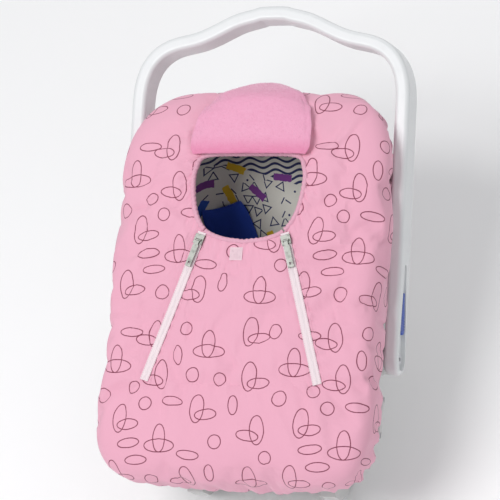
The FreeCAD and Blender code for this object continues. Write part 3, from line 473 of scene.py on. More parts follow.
@dataclass(frozen=True)
class PadPrint:
    """Grey-white pad cloth with brush strokes, outlined triangles, dashes, dots and waves."""

    name: str
    ground: Colour
    ink: Colour
    strokes: tuple[Colour, ...]
    wave_start: float = 0.236

    def cells(self, sh: Shader, where: Sock, size: float) -> tuple[Sock, ...]:
        """Scattered cells with their own turned coordinates.

        Args:
            sh: Shader that takes the nodes.
            where: Cloth position in metres.
            size: Spacing of the cells in millimetres.

        Returns:
            Local x and y in millimetres, and three random values of the cell.
        """
        spread = sh.vector("MULTIPLY", where, (1000.0 / size, 1000.0 / size, 0.0))
        inputs = {"Vector": spread, "Scale": 1.0, "Randomness": 0.75}
        settings = {"voronoi_dimensions": "2D", "feature": "F1"}
        colour = sh.node("ShaderNodeTexVoronoi", settings, inputs, "Color")
        local = sh.vector("SUBTRACT", spread, Sock(sh, colour.socket.node.outputs["Position"]))
        red, green, blue = sh.parts(colour)
        turned = sh.node("ShaderNodeVectorRotate", {"rotation_type": "Z_AXIS"},
                         {"Vector": local, "Angle": red * 6.283})
        x, y, _ = sh.parts(turned)
        return x * size, y * size, red, green, blue

    def build(self) -> Material:
        """Make the material."""
        sh = Shader(self.name)
        where = sh.place("fabric")
        height, tone = Cotton(self.name, self.ground).cloth(sh)
        base = sh.mix(tone * 0.5, self.ground, tuple(c * 0.85 for c in self.ground))
        x, y, _, pick, hue = self.cells(sh, where, 46.0)
        ragged = (sh.noise(where, 160.0, 3.0) - 0.5) * 5.0
        stroke = (x.math("ABSOLUTE") + ragged).step_down(14.5, 0.5)
        stroke = stroke * (y.math("ABSOLUTE") + ragged).step_down(5.6, 0.5) * pick.step_up(0.22, 0.001)
        stops = [(i / len(self.strokes), colour) for i, colour in enumerate(self.strokes)]
        paint = sh.node("ShaderNodeValToRGB", {"stops": stops}, {"Fac": hue})
        base = sh.mix(stroke, base, paint)
        x, y, _, pick, _ = self.cells(sh, sh.vector("ADD", where, (0.31, 0.17, 0.0)), 18.5)
        side = (x.math("ABSOLUTE") * 0.866 + y * 0.5).math("MAXIMUM", -1.0 * y)
        triangle = (side - 4.0).math("ABSOLUTE").step_down(0.85, 0.25) * pick.step_up(0.42, 0.001)
        dash = x.math("ABSOLUTE").step_down(5.6, 0.3) * y.math("ABSOLUTE").step_down(0.95, 0.25)
        dash = dash * pick.step_down(0.42, 0.001) * pick.step_up(0.16, 0.001)
        dot = (x * x + y * y).step_down(3.2, 0.9) * pick.step_down(0.16, 0.001)
        across, along, _ = sh.parts(where)
        band = (across * 160.0).math("SINE") * 0.0035 + along
        waves = (band * (2.0 * math.pi / 0.0095)).math("SINE").step_up(0.25, 0.15)
        top = (along + across * 0.3).step_up(self.wave_start, 0.0006)
        marks = (triangle + dash + dot) * (1.0 - top) + waves * top
        base = sh.mix((marks * (1.0 - stroke)).math("MINIMUM", 1.0), base, self.ink)
        return sh.finish({"Base Color": base, "Roughness": 0.8 + tone * 0.1, "Sheen Weight": 0.15,
                          "Normal": sh.bump(height, 0.0004, 0.6)})


@dataclass(frozen=True)
class Fleece:
    """Brushed fleece with pilled tufts, with painted shade in the hollows between tufts and near the flap's root
    fold.
    """

    name: str
    colour: Colour
    # World y below which the fleece gets painted shade, at the fold near the flap's root.
    fold_shade_place: float = 0.178

    def build(self) -> Material:
        """Make the material."""
        sh = Shader(self.name)
        where = sh.place()
        tufts = sh.noise(where, 420.0, 3.0, 0.65)
        clumps = sh.noise(where, 110.0, 2.0)
        # dark is the colour of the painted shade and of the darker clumps.
        dark = (self.colour[0] * 0.88, self.colour[1] * 0.58, self.colour[2] * 0.70)
        _, toward_head, _ = sh.parts(where)
        # Painted shade: darker towards the flap's root, where it folds back at the hinge.
        fold_shade = toward_head.step_down(self.fold_shade_place, 0.018) * 0.8
        # (1 - tufts) darkens the hollows between tufts: painted shade. The clumps add random darker tone.
        base = sh.mix(((1.0 - tufts) * 0.5 + clumps * 0.25 + fold_shade).math("MINIMUM", 1.0), self.colour, dark)
        height = tufts * 0.65 + clumps * 0.35
        return sh.finish({"Base Color": base, "Roughness": 0.92 + tufts * 0.06, "Sheen Weight": 0.5,
                          "Sheen Roughness": 0.35, "Normal": sh.bump(height, 0.0016, 0.8)})


@dataclass(frozen=True)
class Ground:
    """Plain pale studio floor."""

    name: str
    colour: Colour

    def build(self) -> Material:
        """Make the material."""
        sh = Shader(self.name)
        cloud = sh.noise(sh.place(), 1.5, 2.0)
        base = sh.mix(cloud * 0.3, self.colour, tuple(c * 0.97 for c in self.colour))
        return sh.finish({"Base Color": base, "Roughness": 0.75 + cloud * 0.05})


# Geometry helpers
@dataclass(frozen=True)
class RimFrame:
    """The seat rim: where rim-frame millimetres lie in the row frame."""

    slope: float = 18.0
    y: float = -30.0
    z: float = 250.0

    def world(self, points: Iterable) -> Grid:
        """Rim-frame points as metres in the row frame.

        Args:
            points: Array whose last axis is x, s and h.

        Returns:
            Array of the same shape.
        """
        pts = np.asarray(points, float)
        c, n = math.cos(math.radians(self.slope)), math.sin(math.radians(self.slope))
        x, s, h = pts[..., 0], pts[..., 1], pts[..., 2]
        return np.stack([x, self.y + s * c - h * n, self.z + s * n + h * c], axis=-1) * MM

    def direction(self, step: Sequence[float]) -> Grid:
        """A rim-frame step in millimetres as a step in metres in the row frame."""
        return self.world(step) - self.world([0.0, 0.0, 0.0])

    def local(self, points: Iterable) -> Grid:
        """Row-frame metres as rim-frame millimetres."""
        pts = np.asarray(points, float) / MM
        c, n = math.cos(math.radians(self.slope)), math.sin(math.radians(self.slope))
        x, y, z = pts[..., 0], pts[..., 1] - self.y, pts[..., 2] - self.z
        return np.stack([x, y * c + z * n, z * c - y * n], axis=-1)


RIM = RimFrame()
BACK_SLOPE = 48.0
TUBE_SIDES = 14
RIM_UP = RIM.direction([0.0, 0.0, 1.0])


def unit(rows: Grid) -> Grid:
    """Vectors scaled to length 1."""
    length = np.linalg.norm(rows, axis=-1, keepdims=True)
    return rows / np.maximum(length, 1e-9)


def smooth_step(low: float, high: float, value: Grid) -> Grid:
    """0 below low, 1 above high, smooth between."""
    t = np.clip((np.asarray(value, float) - low) / (high - low), 0.0, 1.0)
    return t * t * (3.0 - 2.0 * t)


def run_along(line: Grid) -> Grid:
    """Distance along a line at each of its points."""
    return np.concatenate([[0.0], np.cumsum(np.linalg.norm(np.diff(line, axis=0), axis=1))])


def bulge(share: Grid, power: float) -> Grid:
    """Superellipse: 1 where the share is 0, falling to 0 where it is 1."""
    return np.maximum(1.0 - np.clip(share, 0, 1) ** power, 0.0) ** (1 / power)


def resample(points: Sequence, count: int, closed: bool = False) -> Grid:
    """Smooth curve through points, cut into even steps.

    Args:
        points: Points of any dimension.
        count: Number of points to return.
        closed: True for a closed curve.

    Returns:
        The new points.
    """
    pts = np.asarray(points, float)
    if closed:
        pts = np.vstack([pts[-1], pts, pts[0], pts[1]])
    else:
        pts = np.vstack([2 * pts[0] - pts[1], pts, 2 * pts[-1] - pts[-2]])
    fine = []
    for a, b, c, d in zip(pts, pts[1:], pts[2:], pts[3:]):
        for k in range(16):
            t = k / 16.0
            fine.append(0.5 * (2 * b + (c - a) * t + (2 * a - 5 * b + 4 * c - d) * t * t
                               + (3 * b - a - 3 * c + d) * t ** 3))
    fine.append(pts[-2])
    fine = np.array(fine)
    run = run_along(fine)
    steps = np.linspace(0.0, run[-1], count + 1 if closed else count)
    if closed:
        steps = steps[:-1]
    return np.stack([np.interp(steps, run, fine[:, i]) for i in range(fine.shape[1])], axis=1)


def grid_faces(rows: int, columns: int, closed: bool = False) -> list[tuple[int, ...]]:
    """Quads over a grid of points, row by row.

    Args:
        rows: Number of rows.
        columns: Points in each row.
        closed: True where each row closes on itself.

    Returns:
        The faces.
    """
    faces = []
    for i in range(rows - 1):
        for j in range(columns if closed else columns - 1):
            k = (j + 1) % columns
            faces.append((i * columns + j, i * columns + k, (i + 1) * columns + k, (i + 1) * columns + j))
    return faces


def make_object(name: str, points: Grid, faces: Sequence, fabric: Optional[Grid] = None) -> Piece:
    """Mesh object with smooth faces.

    Args:
        name: Name of the piece.
        points: Vertices in metres, in the row frame.
        faces: Faces as vertex numbers.
        fabric: Cloth coordinates of the vertices, in metres.

    Returns:
        The object.
    """
    mesh = bpy.data.meshes.new(name)
    places = [tuple(p) for p in np.asarray(points, float).reshape(-1, 3)]
    mesh.from_pydata(places, [], [tuple(f) for f in faces])
    mesh.update()
    if fabric is not None:
        cloth = np.zeros((len(mesh.vertices), 3), np.float32)
        cloth[:, :2] = np.asarray(fabric, float).reshape(-1, np.shape(fabric)[-1])[:, :2]
        layer = mesh.attributes.new("fabric", "FLOAT_VECTOR", "POINT")
        layer.data.foreach_set("vector", cloth.ravel())
    mesh.polygons.foreach_set("use_smooth", [True] * len(mesh.polygons))
    made = bpy.data.objects.new(name, mesh)
    bpy.context.scene.collection.objects.link(made)
    return made


def fix_normals(obj: Piece, merge: float = 0.0) -> None:
    """Turn a closed mesh's faces outward, after merging points closer than a gap in metres."""
    work = bmesh.new()
    work.from_mesh(obj.data)
    if merge:
        bmesh.ops.remove_doubles(work, verts=work.verts, dist=merge)
    bmesh.ops.recalc_face_normals(work, faces=work.faces)
    work.to_mesh(obj.data)
    work.free()


def thick_sheet(name: str, points: Grid, faces: Sequence, thick: float, fabric: Grid,
                up: float = 0.0) -> Piece:
    """Closed sheet grown from a surface.

    Args:
        name: Name of the piece.
        points: Surface points in metres.
        faces: Faces of the surface, outward.
        thick: Thickness in metres, taken inward.
        fabric: Cloth coordinates of the points.
        up: Share of the thickness that goes outward instead.

    Returns:
        The object.
    """
    pts = np.asarray(points, float).reshape(-1, 3)
    cloth = np.asarray(fabric, float).reshape(len(pts), -1)[:, :2]
    used = sorted({i for face in faces for i in face})
    number = {old: new for new, old in enumerate(used)}
    faces = [tuple(number[i] for i in face) for face in faces]
    pts, cloth = pts[used], cloth[used]
    normals = np.zeros_like(pts)
    for face in faces:
        corner = pts[list(face)]
        normal = np.cross(corner[2] - corner[0], corner[-1] - corner[1])
        for i in face:
            normals[i] += normal
    normals = unit(normals)
    count = len(pts)
    both = np.vstack([pts + normals * thick * up, pts - normals * thick * (1.0 - up)])
    edges: dict[tuple[int, int], int] = {}
    for face in faces:
        for a, b in zip(face, face[1:] + face[:1]):
            edges[(a, b)] = edges.get((a, b), 0) + 1
    walls = [(b, a, a + count, b + count) for a, b in edges if (b, a) not in edges]
    under = [tuple(i + count for i in reversed(face)) for face in faces]
    made = make_object(name, both, list(faces) + under + walls, np.vstack([cloth, cloth]))
    border = {frozenset((a, b)) for b, a, _, _ in walls} | {frozenset((c, d)) for _, _, c, d in walls}
    sharp = made.data.attributes.new("sharp_edge", "BOOLEAN", "EDGE")
    sharp.data.foreach_set("value", [frozenset(edge.vertices) in border for edge in made.data.edges])
    return made


def pillow(name: str, top: Grid, low: Grid, fabric: Grid) -> Piece:
    """Closed piece between two grids of the same size that meet round their border.

    Args:
        name: Name of the piece.
        top: Upper grid in metres.
        low: Lower grid in metres.
        fabric: Cloth coordinates of one grid.

    Returns:
        The object.
    """
    rows, columns = top.shape[:2]
    size = rows * columns
    faces = grid_faces(rows, columns)
    under = [tuple(i + size for i in reversed(face)) for face in faces]
    ring = ([(0, j) for j in range(columns)] + [(i, columns - 1) for i in range(1, rows)]
            + [(rows - 1, j) for j in range(columns - 2, -1, -1)] + [(i, 0) for i in range(rows - 2, 0, -1)])
    index = [i * columns + j for i, j in ring]
    walls = [(a, b, b + size, a + size) for a, b in zip(index, index[1:] + index[:1])]
    points = np.vstack([top.reshape(-1, 3), low.reshape(-1, 3)])
    return make_object(name, points, faces + under + walls, np.vstack([fabric, fabric]))


def sweep(centres: Grid, sides: Grid, ups: Grid, profile: Callable[[int], Sequence], closed: bool = False,
          ) -> tuple[Grid, list, Grid]:
    """Sweep a closed profile along frames.

    Args:
        centres: Points in metres.
        sides: Unit vectors for the profile's first axis.
        ups: Unit vectors for its second axis.
        profile: Gives the profile's points at a step, in metres.
        closed: True where the sweep closes on itself.

    Returns:
        Points, faces and cloth coordinates.
    """
    run = run_along(centres)
    points, cloth = [], []
    count = len(profile(0))
    for i, (centre, side, up) in enumerate(zip(centres, sides, ups)):
        around = 0.0
        last = None
        for u, v in profile(i):
            if last is not None:
                around += math.hypot(u - last[0], v - last[1])
            last = (u, v)
            points.append(centre + side * u + up * v)
            cloth.append((around, run[i]))
    rows = len(centres)
    faces = grid_faces(rows, count, True)
    if closed:
        faces += [((rows - 1) * count + j, (rows - 1) * count + (j + 1) % count, (j + 1) % count, j)
                  for j in range(count)]
    else:
        faces.append(tuple(range(count))[::-1])
        faces.append(tuple((rows - 1) * count + j for j in range(count)))
    return np.array(points), faces, np.array(cloth)


def path_frames(centres: Grid, up: Grid, closed: bool = False) -> tuple[Grid, Grid]:
    """Side and up vectors along a path.

    Args:
        centres: Points of the path.
        up: Wanted up vector at each point.
        closed: True for a closed path.

    Returns:
        Sides and ups.
    """
    if closed:
        ahead = np.roll(centres, -1, axis=0) - np.roll(centres, 1, axis=0)
    else:
        ahead = np.gradient(centres, axis=0)
    ahead = unit(ahead)
    side = unit(np.cross(ahead, up))
    return side, unit(np.cross(side, ahead))


def join(name: str, batches: Sequence[tuple[Grid, list, Grid]]) -> Piece:
    """One object from several (points, faces, cloth) batches."""
    points, faces, cloth, start = [], [], [], 0
    for pts, fcs, fab in batches:
        points.append(np.asarray(pts).reshape(-1, 3))
        cloth.append(np.asarray(fab).reshape(-1, np.shape(fab)[-1])[:, :2])
        faces += [tuple(i + start for i in face) for face in fcs]
        start += len(points[-1])
    return make_object(name, np.vstack(points), faces, np.vstack(cloth))


def surface_of(node: str) -> BVHTree:
    """Search tree over a CAD node's mesh."""
    mesh = frame["nodes"][node].data
    return BVHTree.FromPolygons([v.co[:] for v in mesh.vertices], [p.vertices[:] for p in mesh.polygons])


def drape(tree: BVHTree, spots: Grid, lift: float, from_below: bool = False) -> Grid:
    """Lay rim-frame spots on a surface.

    Args:
        tree: Surface to lie on.
        spots: Array whose last axis is x and s.
        lift: Gap to the surface, in millimetres, along its normal.
        from_below: True to lie on the underside.

    Returns:
        Points in metres.
    """
    flat = np.asarray(spots, float).reshape(-1, 2)
    start_h, sign = (-330.0, 1.0) if from_below else (40.0, -1.0)
    direction = Vector(RIM.direction([0.0, 0.0, sign])).normalized()
    found = []
    for x, s in flat:
        origin = Vector(RIM.world([x, s, start_h]))
        hit, normal, _, _ = tree.ray_cast(origin, direction)
        if hit is None:
            hit, normal, _, _ = tree.find_nearest(Vector(RIM.world([x, s, -120.0])))
        if normal.dot(direction) > 0:
            normal = -normal
        found.append(hit + normal * lift * MM)
    return np.array(found).reshape(*np.shape(spots)[:-1], 3)


def inflate(obj: Piece, pinned: Optional[Sequence[float]], pressure: float, cap: float,
            frames: int = 20, grow: float = 0.0) -> None:
    """Short cloth simulation that fills or puckers a piece, with its result applied.

    Args:
        obj: Mesh object with no parent.
        pinned: Pin weight of each vertex, or None.
        pressure: Pressure from inside.
        cap: Most that a point may move, in metres.
        frames: Number of frames.
        grow: Share by which the cloth is larger than its space.
    """
    count = len(obj.data.vertices)
    before = np.zeros(count * 3, np.float32)
    obj.data.vertices.foreach_get("co", before)
    before = before.reshape(-1, 3)
    cloth = obj.modifiers.new("Fill", "CLOTH")
    cloth.settings.quality = 6
    cloth.settings.mass = 0.25
    cloth.settings.use_pressure = pressure > 0
    cloth.settings.uniform_pressure_force = pressure
    cloth.settings.effector_weights.gravity = 0.0
    cloth.settings.shrink_min = -grow
    cloth.settings.tension_stiffness = 18.0
    cloth.settings.compression_stiffness = 18.0
    cloth.settings.bending_stiffness = 0.6
    if pinned is not None:
        group = obj.vertex_groups.new(name="pin")
        for i, weight in enumerate(pinned):
            if weight > 0:
                group.add([i], float(weight), "REPLACE")
        cloth.settings.vertex_group_mass = "pin"
    cloth.point_cache.frame_start = 1
    cloth.point_cache.frame_end = frames
    scene = bpy.context.scene
    for step in range(1, frames + 1):
        scene.frame_set(step)
    shown = obj.evaluated_get(bpy.context.evaluated_depsgraph_get())
    after = np.zeros(count * 3, np.float32)
    shown.data.vertices.foreach_get("co", after)
    after = after.reshape(-1, 3)
    obj.modifiers.clear()
    obj.vertex_groups.clear()
    moved = after - before
    length = np.linalg.norm(moved, axis=1, keepdims=True)
    moved *= np.minimum(1.0, cap / np.maximum(length, 1e-9))
    obj.data.vertices.foreach_set("co", (before + moved).ravel())
    obj.data.update()
    scene.frame_set(1)


def finish_piece(obj: Piece, material: Material, body: str,
                 nodes: Sequence[str] = ()) -> Piece:
    """Dress a piece, and say what it rides on and stands for.

    Args:
        obj: The piece.
        material: Its material.
        body: CAD body that it moves with.
        nodes: CAD nodes that it stands for.

    Returns:
        The piece.
    """
    obj.data.materials.clear()
    obj.data.materials.append(material)
    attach(obj, body)
    if nodes:
        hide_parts(*nodes)
    LOG.info("%s on %s, %d faces", obj.name, body, len(obj.data.polygons))
    return obj


def noise_at(points: Grid, size: float, seed: float) -> Grid:
    """Smooth noise from about -1 to 1.

    Args:
        points: Points in metres.
        size: Size of the features in metres.
        seed: Offset that picks the pattern.

    Returns:
        One value for each point.
    """
    flat = np.asarray(points, float).reshape(-1, 3) / size + seed
    return np.array([noise.noise(Vector(p)) for p in flat]).reshape(np.shape(points)[:-1])


# Cover
class Zone(Enum):
    """Parts of the cover's spoke grid."""

    PANEL = "panel"
    MIDDLE = "middle"
    LEFT = "left"
    RIGHT = "right"


@dataclass
class CoverCloth:
    """Quilted cover over the rim: shape, print, gathers, and the panel between the zips."""

    half_width: float = 194.0
    foot: float = 242.0
    head: float = 352.0
    plan_power: float = 6.0
    cross_power: float = 5.6
    thick: float = 5.0
    hem: float = -58.0
    hem_tuck: float = 11.0
    notch_hem: float = -15.0
    notch_middle: float = -34.0
    notch_half: float = 56.0
    side_limit: float = 196.4
    hem_limit: float = 191.5
    side_puff: float = 15.0
    puff_limit: float = 211.0
    split_x: float = 150.0
    foot_puff: float = 6.0
    crown_foot: tuple = ((242.0, 0.0), (239.5, 22.0), (233.0, 36.0), (219.0, 50.0), (194.0, 59.0),
                         (157.0, 64.5), (106.0, 67.4))
    crown_head: tuple = ((0.0, 69.9), (60.0, 72.6), (123.0, 75.1), (176.0, 77.5), (218.0, 79.0),
                         (253.0, 78.5), (289.0, 73.5), (317.0, 63.0), (336.0, 48.0), (346.7, 34.0),
                         (352.0, 0.0))
    opening: tuple = ((0.0, 105.0), (35.0, 110.0), (63.0, 123.0), (80.0, 150.0), (88.0, 190.0),
                      (86.0, 220.0), (70.0, 240.0), (0.0, 243.0))
    zip_top: tuple = (63.0, 123.0)
    zip_end: tuple = (134.0, -106.0)
    panel_spokes: int = 84
    rest_spokes: int = 120
    inner_rings: int = 30
    outer_rings: int = 20
    skirt_rings: int = 14
    gather: float = 5.6
    pucker: float = 1.7
    broad: float = 2.8
    narrow: float = 1.5
    ruck: float = 0.9
    zip_press: float = 1.2
    fold_lines: tuple = (
        (-96, 96, -168, -60, 9.0, 2.6), (-104, 150, -172, 60, 10.0, 2.4), (96, 92, 168, -30, 8.0, 2.4),
        (104, 160, 172, 90, 9.0, 2.2), (-60, 92, 20, 20, 6.0, 1.8), (40, 98, -30, 60, 5.0, 1.7),
        (-110, -60, -60, -200, 11.0, 2.2), (110, -70, 150, -200, 9.0, 3.0), (60, -120, 120, -225, 8.0, 2.4),
        (-40, -40, 30, -190, 13.0, 1.8), (-120, 250, -60, 320, 9.0, 2.2), (120, 240, 165, 320, 8.0, 2.6))
    gather_spots: tuple = (
        (194, -150, 46, 5.5), (185, -228, 40, 4.5), (196, 190, 60, 4.0), (-180, -235, 34, 3.6),
        (0, -242, 120, 2.6), (150, 345, 50, 3.0), (-194, -60, 60, 2.6))
    points: Grid = field(default_factory=lambda: np.zeros(0))
    fabric: Grid = field(default_factory=lambda: np.zeros(0))

    def crown(self, s: Grid) -> Grid:
        """Height of the middle line at a place along the rim."""
        foot = resample([(-a, c) for a, c in self.crown_foot] + [self.crown_head[0]], 160)
        head = resample(self.crown_head, 200)
        line = np.vstack([foot, head[1:]])
        place = np.maximum.accumulate(line[:, 0])
        return np.interp(s, place, line[:, 1])

    def plan_width(self, s: Grid) -> Grid:
        """Half width of the plan outline at a place along the rim."""
        t = np.where(s < 0, -s / self.foot, s / self.head)
        return self.half_width * bulge(t, self.plan_power)

    def height(self, x: Grid, s: Grid) -> Grid:
        """Height of the cover over a place in the plan."""
        share = np.abs(x) / np.maximum(self.plan_width(s), 1e-6)
        return self.crown(s) * bulge(share, self.cross_power)

    def outline(self, angles: Grid) -> Grid:
        """Points of the plan outline by angle from the x axis."""
        c, n = np.cos(angles), np.sin(angles)
        reach = (np.abs(c) ** self.plan_power + np.abs(n) ** self.plan_power) ** (-1 / self.plan_power)
        length = np.where(n < 0, self.foot, self.head)
        return np.stack([self.half_width * c * reach, length * n * reach], axis=-1)

    def mirror_loop(self, half: Grid) -> Grid:
        """A right half followed by its mirrored left half."""
        left = half[::-1] * [-1.0, 1.0]
        return np.vstack([half, left[1:-1]])

    def loops(self) -> tuple[Grid, Grid, Grid]:
        """Opening edge, middle loop and plan outline, one point for each spoke.

        Returns:
            Three closed loops that begin at the foot middle and run by the right side.
        """
        half_panel = self.panel_spokes // 2 + 1
        edge = resample(self.opening, 400)
        run = run_along(edge)
        split = run[np.argmin(np.linalg.norm(edge - self.zip_top, axis=1))]
        take = np.concatenate([np.linspace(0, split, half_panel),
                               np.linspace(split, run[-1], self.rest_spokes + 1)[1:]])
        inner = np.stack([np.interp(take, run, edge[:, i]) for i in (0, 1)], axis=1)
        inner[half_panel - 1] = self.zip_top
        low = np.linspace((0.0, self.zip_end[1]), self.zip_end, half_panel)
        side = resample([self.zip_end, (146.0, -50.0), (150.0, 30.0), (150.0, 130.0), (146.0, 210.0),
                         (120.0, 272.0), (70.0, 296.0), (0.0, 302.0)], self.rest_spokes + 1)
        middle = np.vstack([low, side[1:]])
        angles = np.linspace(-math.pi / 2, math.pi / 2, 1200)
        rim = self.outline(angles)
        run = run_along(rim)
        corner = run[np.argmin(np.abs(rim[:, 1] + 168.0) + (rim[:, 0] < 0) * 999)]
        take = np.concatenate([np.linspace(0, corner, half_panel),
                               np.linspace(corner, run[-1], self.rest_spokes + 1)[1:]])
        outer = np.stack([np.interp(take, run, rim[:, i]) for i in (0, 1)], axis=1)
        return tuple(self.mirror_loop(part) for part in (inner, middle, outer))

    def build_grid(self) -> None:
        """Work out the cover surface ring by ring, from the opening to the hem."""
        inner, middle, outer = self.loops()
        spokes = len(inner)
        rings = [inner + (middle - inner) * k / self.inner_rings for k in range(self.inner_rings)]
        for k in range(self.outer_rings):
            share = math.sin(0.5 * math.pi * k / self.outer_rings)
            rings.append(middle + (outer - middle) * share)
        plan = np.array(rings)
        shape = np.concatenate([plan, self.height(plan[..., 0], plan[..., 1])[..., None]], axis=-1)
        ahead = np.roll(outer, -1, axis=0) - np.roll(outer, 1, axis=0)
        out = unit(np.stack([ahead[:, 1], -ahead[:, 0]], axis=-1))
        gap = np.abs(outer[:, 1] - self.notch_middle)
        lift = 1.0 - smooth_step(self.notch_half - 12.0, self.notch_half + 14.0, gap)
        lift = lift * (np.abs(outer[:, 0]) > self.split_x)
        hem = self.hem + (self.notch_hem - self.hem) * lift
        skirt = []
        for k in range(self.skirt_rings + 1):
            share = k / self.skirt_rings
            h = hem * share
            tuck = self.hem_tuck * (h / self.hem) ** 1.6 + 4.0 * share ** 6
            skirt.append(np.concatenate([outer - out * tuck[:, None], h[:, None]], axis=-1))
        shape = self.puffed(np.concatenate([shape, np.array(skirt)]))
        normal = self.grid_normals(shape)
        world = RIM.world(shape)
        depth = np.zeros(shape.shape[:2])
        depth[self.inner_rings + self.outer_rings:] = np.linspace(0, 1, self.skirt_rings + 1)[:, None]
        soft = self.broad * noise_at(world, 0.105, 3.1) + self.narrow * noise_at(world, 0.042, 9.7)
        soft = soft + self.folds(shape)
        zip_gap = self.zip_distance(shape)
        edge_gap = np.linalg.norm(shape[..., :2] - inner[None], axis=-1)
        calm = smooth_step(4.0, 34.0, zip_gap) * smooth_step(0.0, 30.0, edge_gap)
        run = run_along(outer)
        wave = self.gathers(run)
        falling = smooth_step(45.0, -45.0, shape[..., 2]) * (shape[..., 2] < 60)
        corner = np.minimum(np.abs(out[:, 0]), np.abs(out[:, 1])) * 1.4
        amount = self.gather * (0.45 + 0.75 * corner)[None] * falling ** 1.4
        shift = soft * calm + wave[None] * amount + self.bursts(outer)[None] * falling ** 1.8
        ring_run = run_along(inner)
        folds = np.cos(ring_run * 2 * math.pi / 15.5 + 1.3 * np.sin(ring_run / 19.0))
        shift += self.pucker * folds[None] * np.exp(-edge_gap / 15.0) * (1.0 - np.exp(-edge_gap / 3.0)) * 1.5
        zip_run = shape[..., 1]
        ruck = np.cos(zip_run * 2 * math.pi / 17.0 + np.sin(zip_run / 23.0)) * np.exp(-zip_gap / 13.0)
        beside_zip = (np.abs(shape[..., 0]) < 175) * (zip_run < 130)
        shift += self.ruck * ruck * smooth_step(6.0, 12.0, zip_gap) * beside_zip
        shift -= self.zip_press * np.exp(-(zip_gap / 7.0) ** 2)
        under_flap = (np.abs(shape[..., 0]) < 100) & (shape[..., 1] > 220)
        shift = np.where(under_flap, np.minimum(shift, 1.0), shift)
        shape = shape + normal * shift[..., None]
        shape = self.held_in(shape)
        self.points = RIM.world(shape)
        self.fabric = self.unroll(shape, inner, out, spokes)

    def folds(self, shape: Grid) -> Grid:
        """Long soft folds that fan down and out from the zips and the opening."""
        drift = 7.0 * noise_at(RIM.world(shape), 0.09, 21.4)
        total = np.zeros(shape.shape[:2])
        for x0, s0, x1, s1, wide, high in self.fold_lines:
            start, line = np.array([x0, s0]), np.array([x1 - x0, s1 - s0])
            size = float(np.linalg.norm(line))
            spot = shape[..., :2] - start
            along = np.clip(spot @ line / size ** 2, 0.0, 1.0)
            off = (spot @ np.array([-line[1], line[0]])) / size + drift * along
            ends = np.sin(np.pi * np.clip(spot @ line / size ** 2, 0.0, 1.0)) ** 0.7
            ridge = np.exp(-(off / wide) ** 2)
            valley = np.exp(-((off - 1.7 * wide) / wide) ** 2)
            total += high * ends * (ridge - 0.55 * valley)
        return total

    def bursts(self, outer: Grid) -> Grid:
        """Tight elastic gathers, strongest at a few places along the outline."""
        run = run_along(outer)
        ripple = np.sin(run * 2 * math.pi / 33.0 + 1.4 * np.sin(run / 37.0))
        amount = np.zeros(len(outer))
        for x, s, reach, high in self.gather_spots:
            gap = np.hypot(outer[:, 0] - x, outer[:, 1] - s)
            amount += high * np.exp(-(gap / reach) ** 2)
        return ripple * amount

    def arm_top(self, s: Grid) -> Grid:
        """Height of the top of the handle's arm, or of its hub, beside the cover."""
        ahead = np.maximum(s - self.notch_middle, 0.0) * 0.1584
        behind = np.maximum(self.notch_middle - s - 8.0, 0.0) ** 1.25
        return -28.7 + ahead - behind

    def puffed(self, shape: Grid) -> Grid:
        """Full sides above the arms and in front of the hubs, and a full foot end.

        Args:
            shape: Surface in the rim frame.

        Returns:
            The fuller surface.
        """
        shape = shape.copy()
        x, s, h = shape[..., 0], shape[..., 1], shape[..., 2]
        clear = smooth_step(2.0, 26.0, h - self.arm_top(s))
        tucked = smooth_step(self.hem, -14.0, h)
        sideways = smooth_step(118.0, 188.0, np.abs(x))
        ends = 1.0 - 0.45 * smooth_step(230.0, 350.0, s)
        fuller = 1.0 + 0.25 * smooth_step(-60.0, -190.0, s) * (x < 0)
        shape[..., 0] = x + np.sign(x) * self.side_puff * clear * tucked * sideways * ends * fuller
        forward = smooth_step(-120.0, -232.0, s) * smooth_step(self.hem, -10.0, h)
        shape[..., 1] = s - self.foot_puff * forward
        return shape

    def held_in(self, shape: Grid) -> Grid:
        """Keep the cloth off the arms."""
        beside = smooth_step(-1.0, 9.0, shape[..., 2] - self.arm_top(shape[..., 1]))
        limit = self.side_limit + (self.puff_limit + 4.0 - self.side_limit) * beside
        above_hem = np.arange(len(shape))[::-1, None]
        limit = np.minimum(limit, self.hem_limit + 1.6 * above_hem)
        shape[..., 0] = np.clip(shape[..., 0], -limit, limit)
        return shape

    def grid_normals(self, shape: Grid) -> Grid:
        """Outward normals of the grid in the rim frame."""
        around = np.roll(shape, -1, axis=1) - np.roll(shape, 1, axis=1)
        down = np.gradient(shape, axis=0)
        return unit(np.cross(down, around))

    def zip_distance(self, shape: Grid) -> Grid:
        """Distance in plan from the nearer zip line."""
        top, end = np.array(self.zip_top), np.array(self.zip_end)
        line = end - top
        spot = np.stack([np.abs(shape[..., 0]), shape[..., 1]], axis=-1) - top
        share = np.clip((spot @ line) / (line @ line), 0.0, 1.0)
        return np.linalg.norm(spot - share[..., None] * line, axis=-1)

    def gathers(self, run: Grid) -> Grid:
        """Uneven ruffles along the hem, about -1 to 1."""
        slow = np.sin(run * 2 * math.pi / 71.0 + 0.6)
        return (0.55 * np.sin(run * 2 * math.pi / 27.0 + 1.7 * slow)
                + 0.35 * np.sin(run * 2 * math.pi / 16.3 + 2.1 + slow)
                + 0.25 * np.sin(run * 2 * math.pi / 44.0 + 4.0))

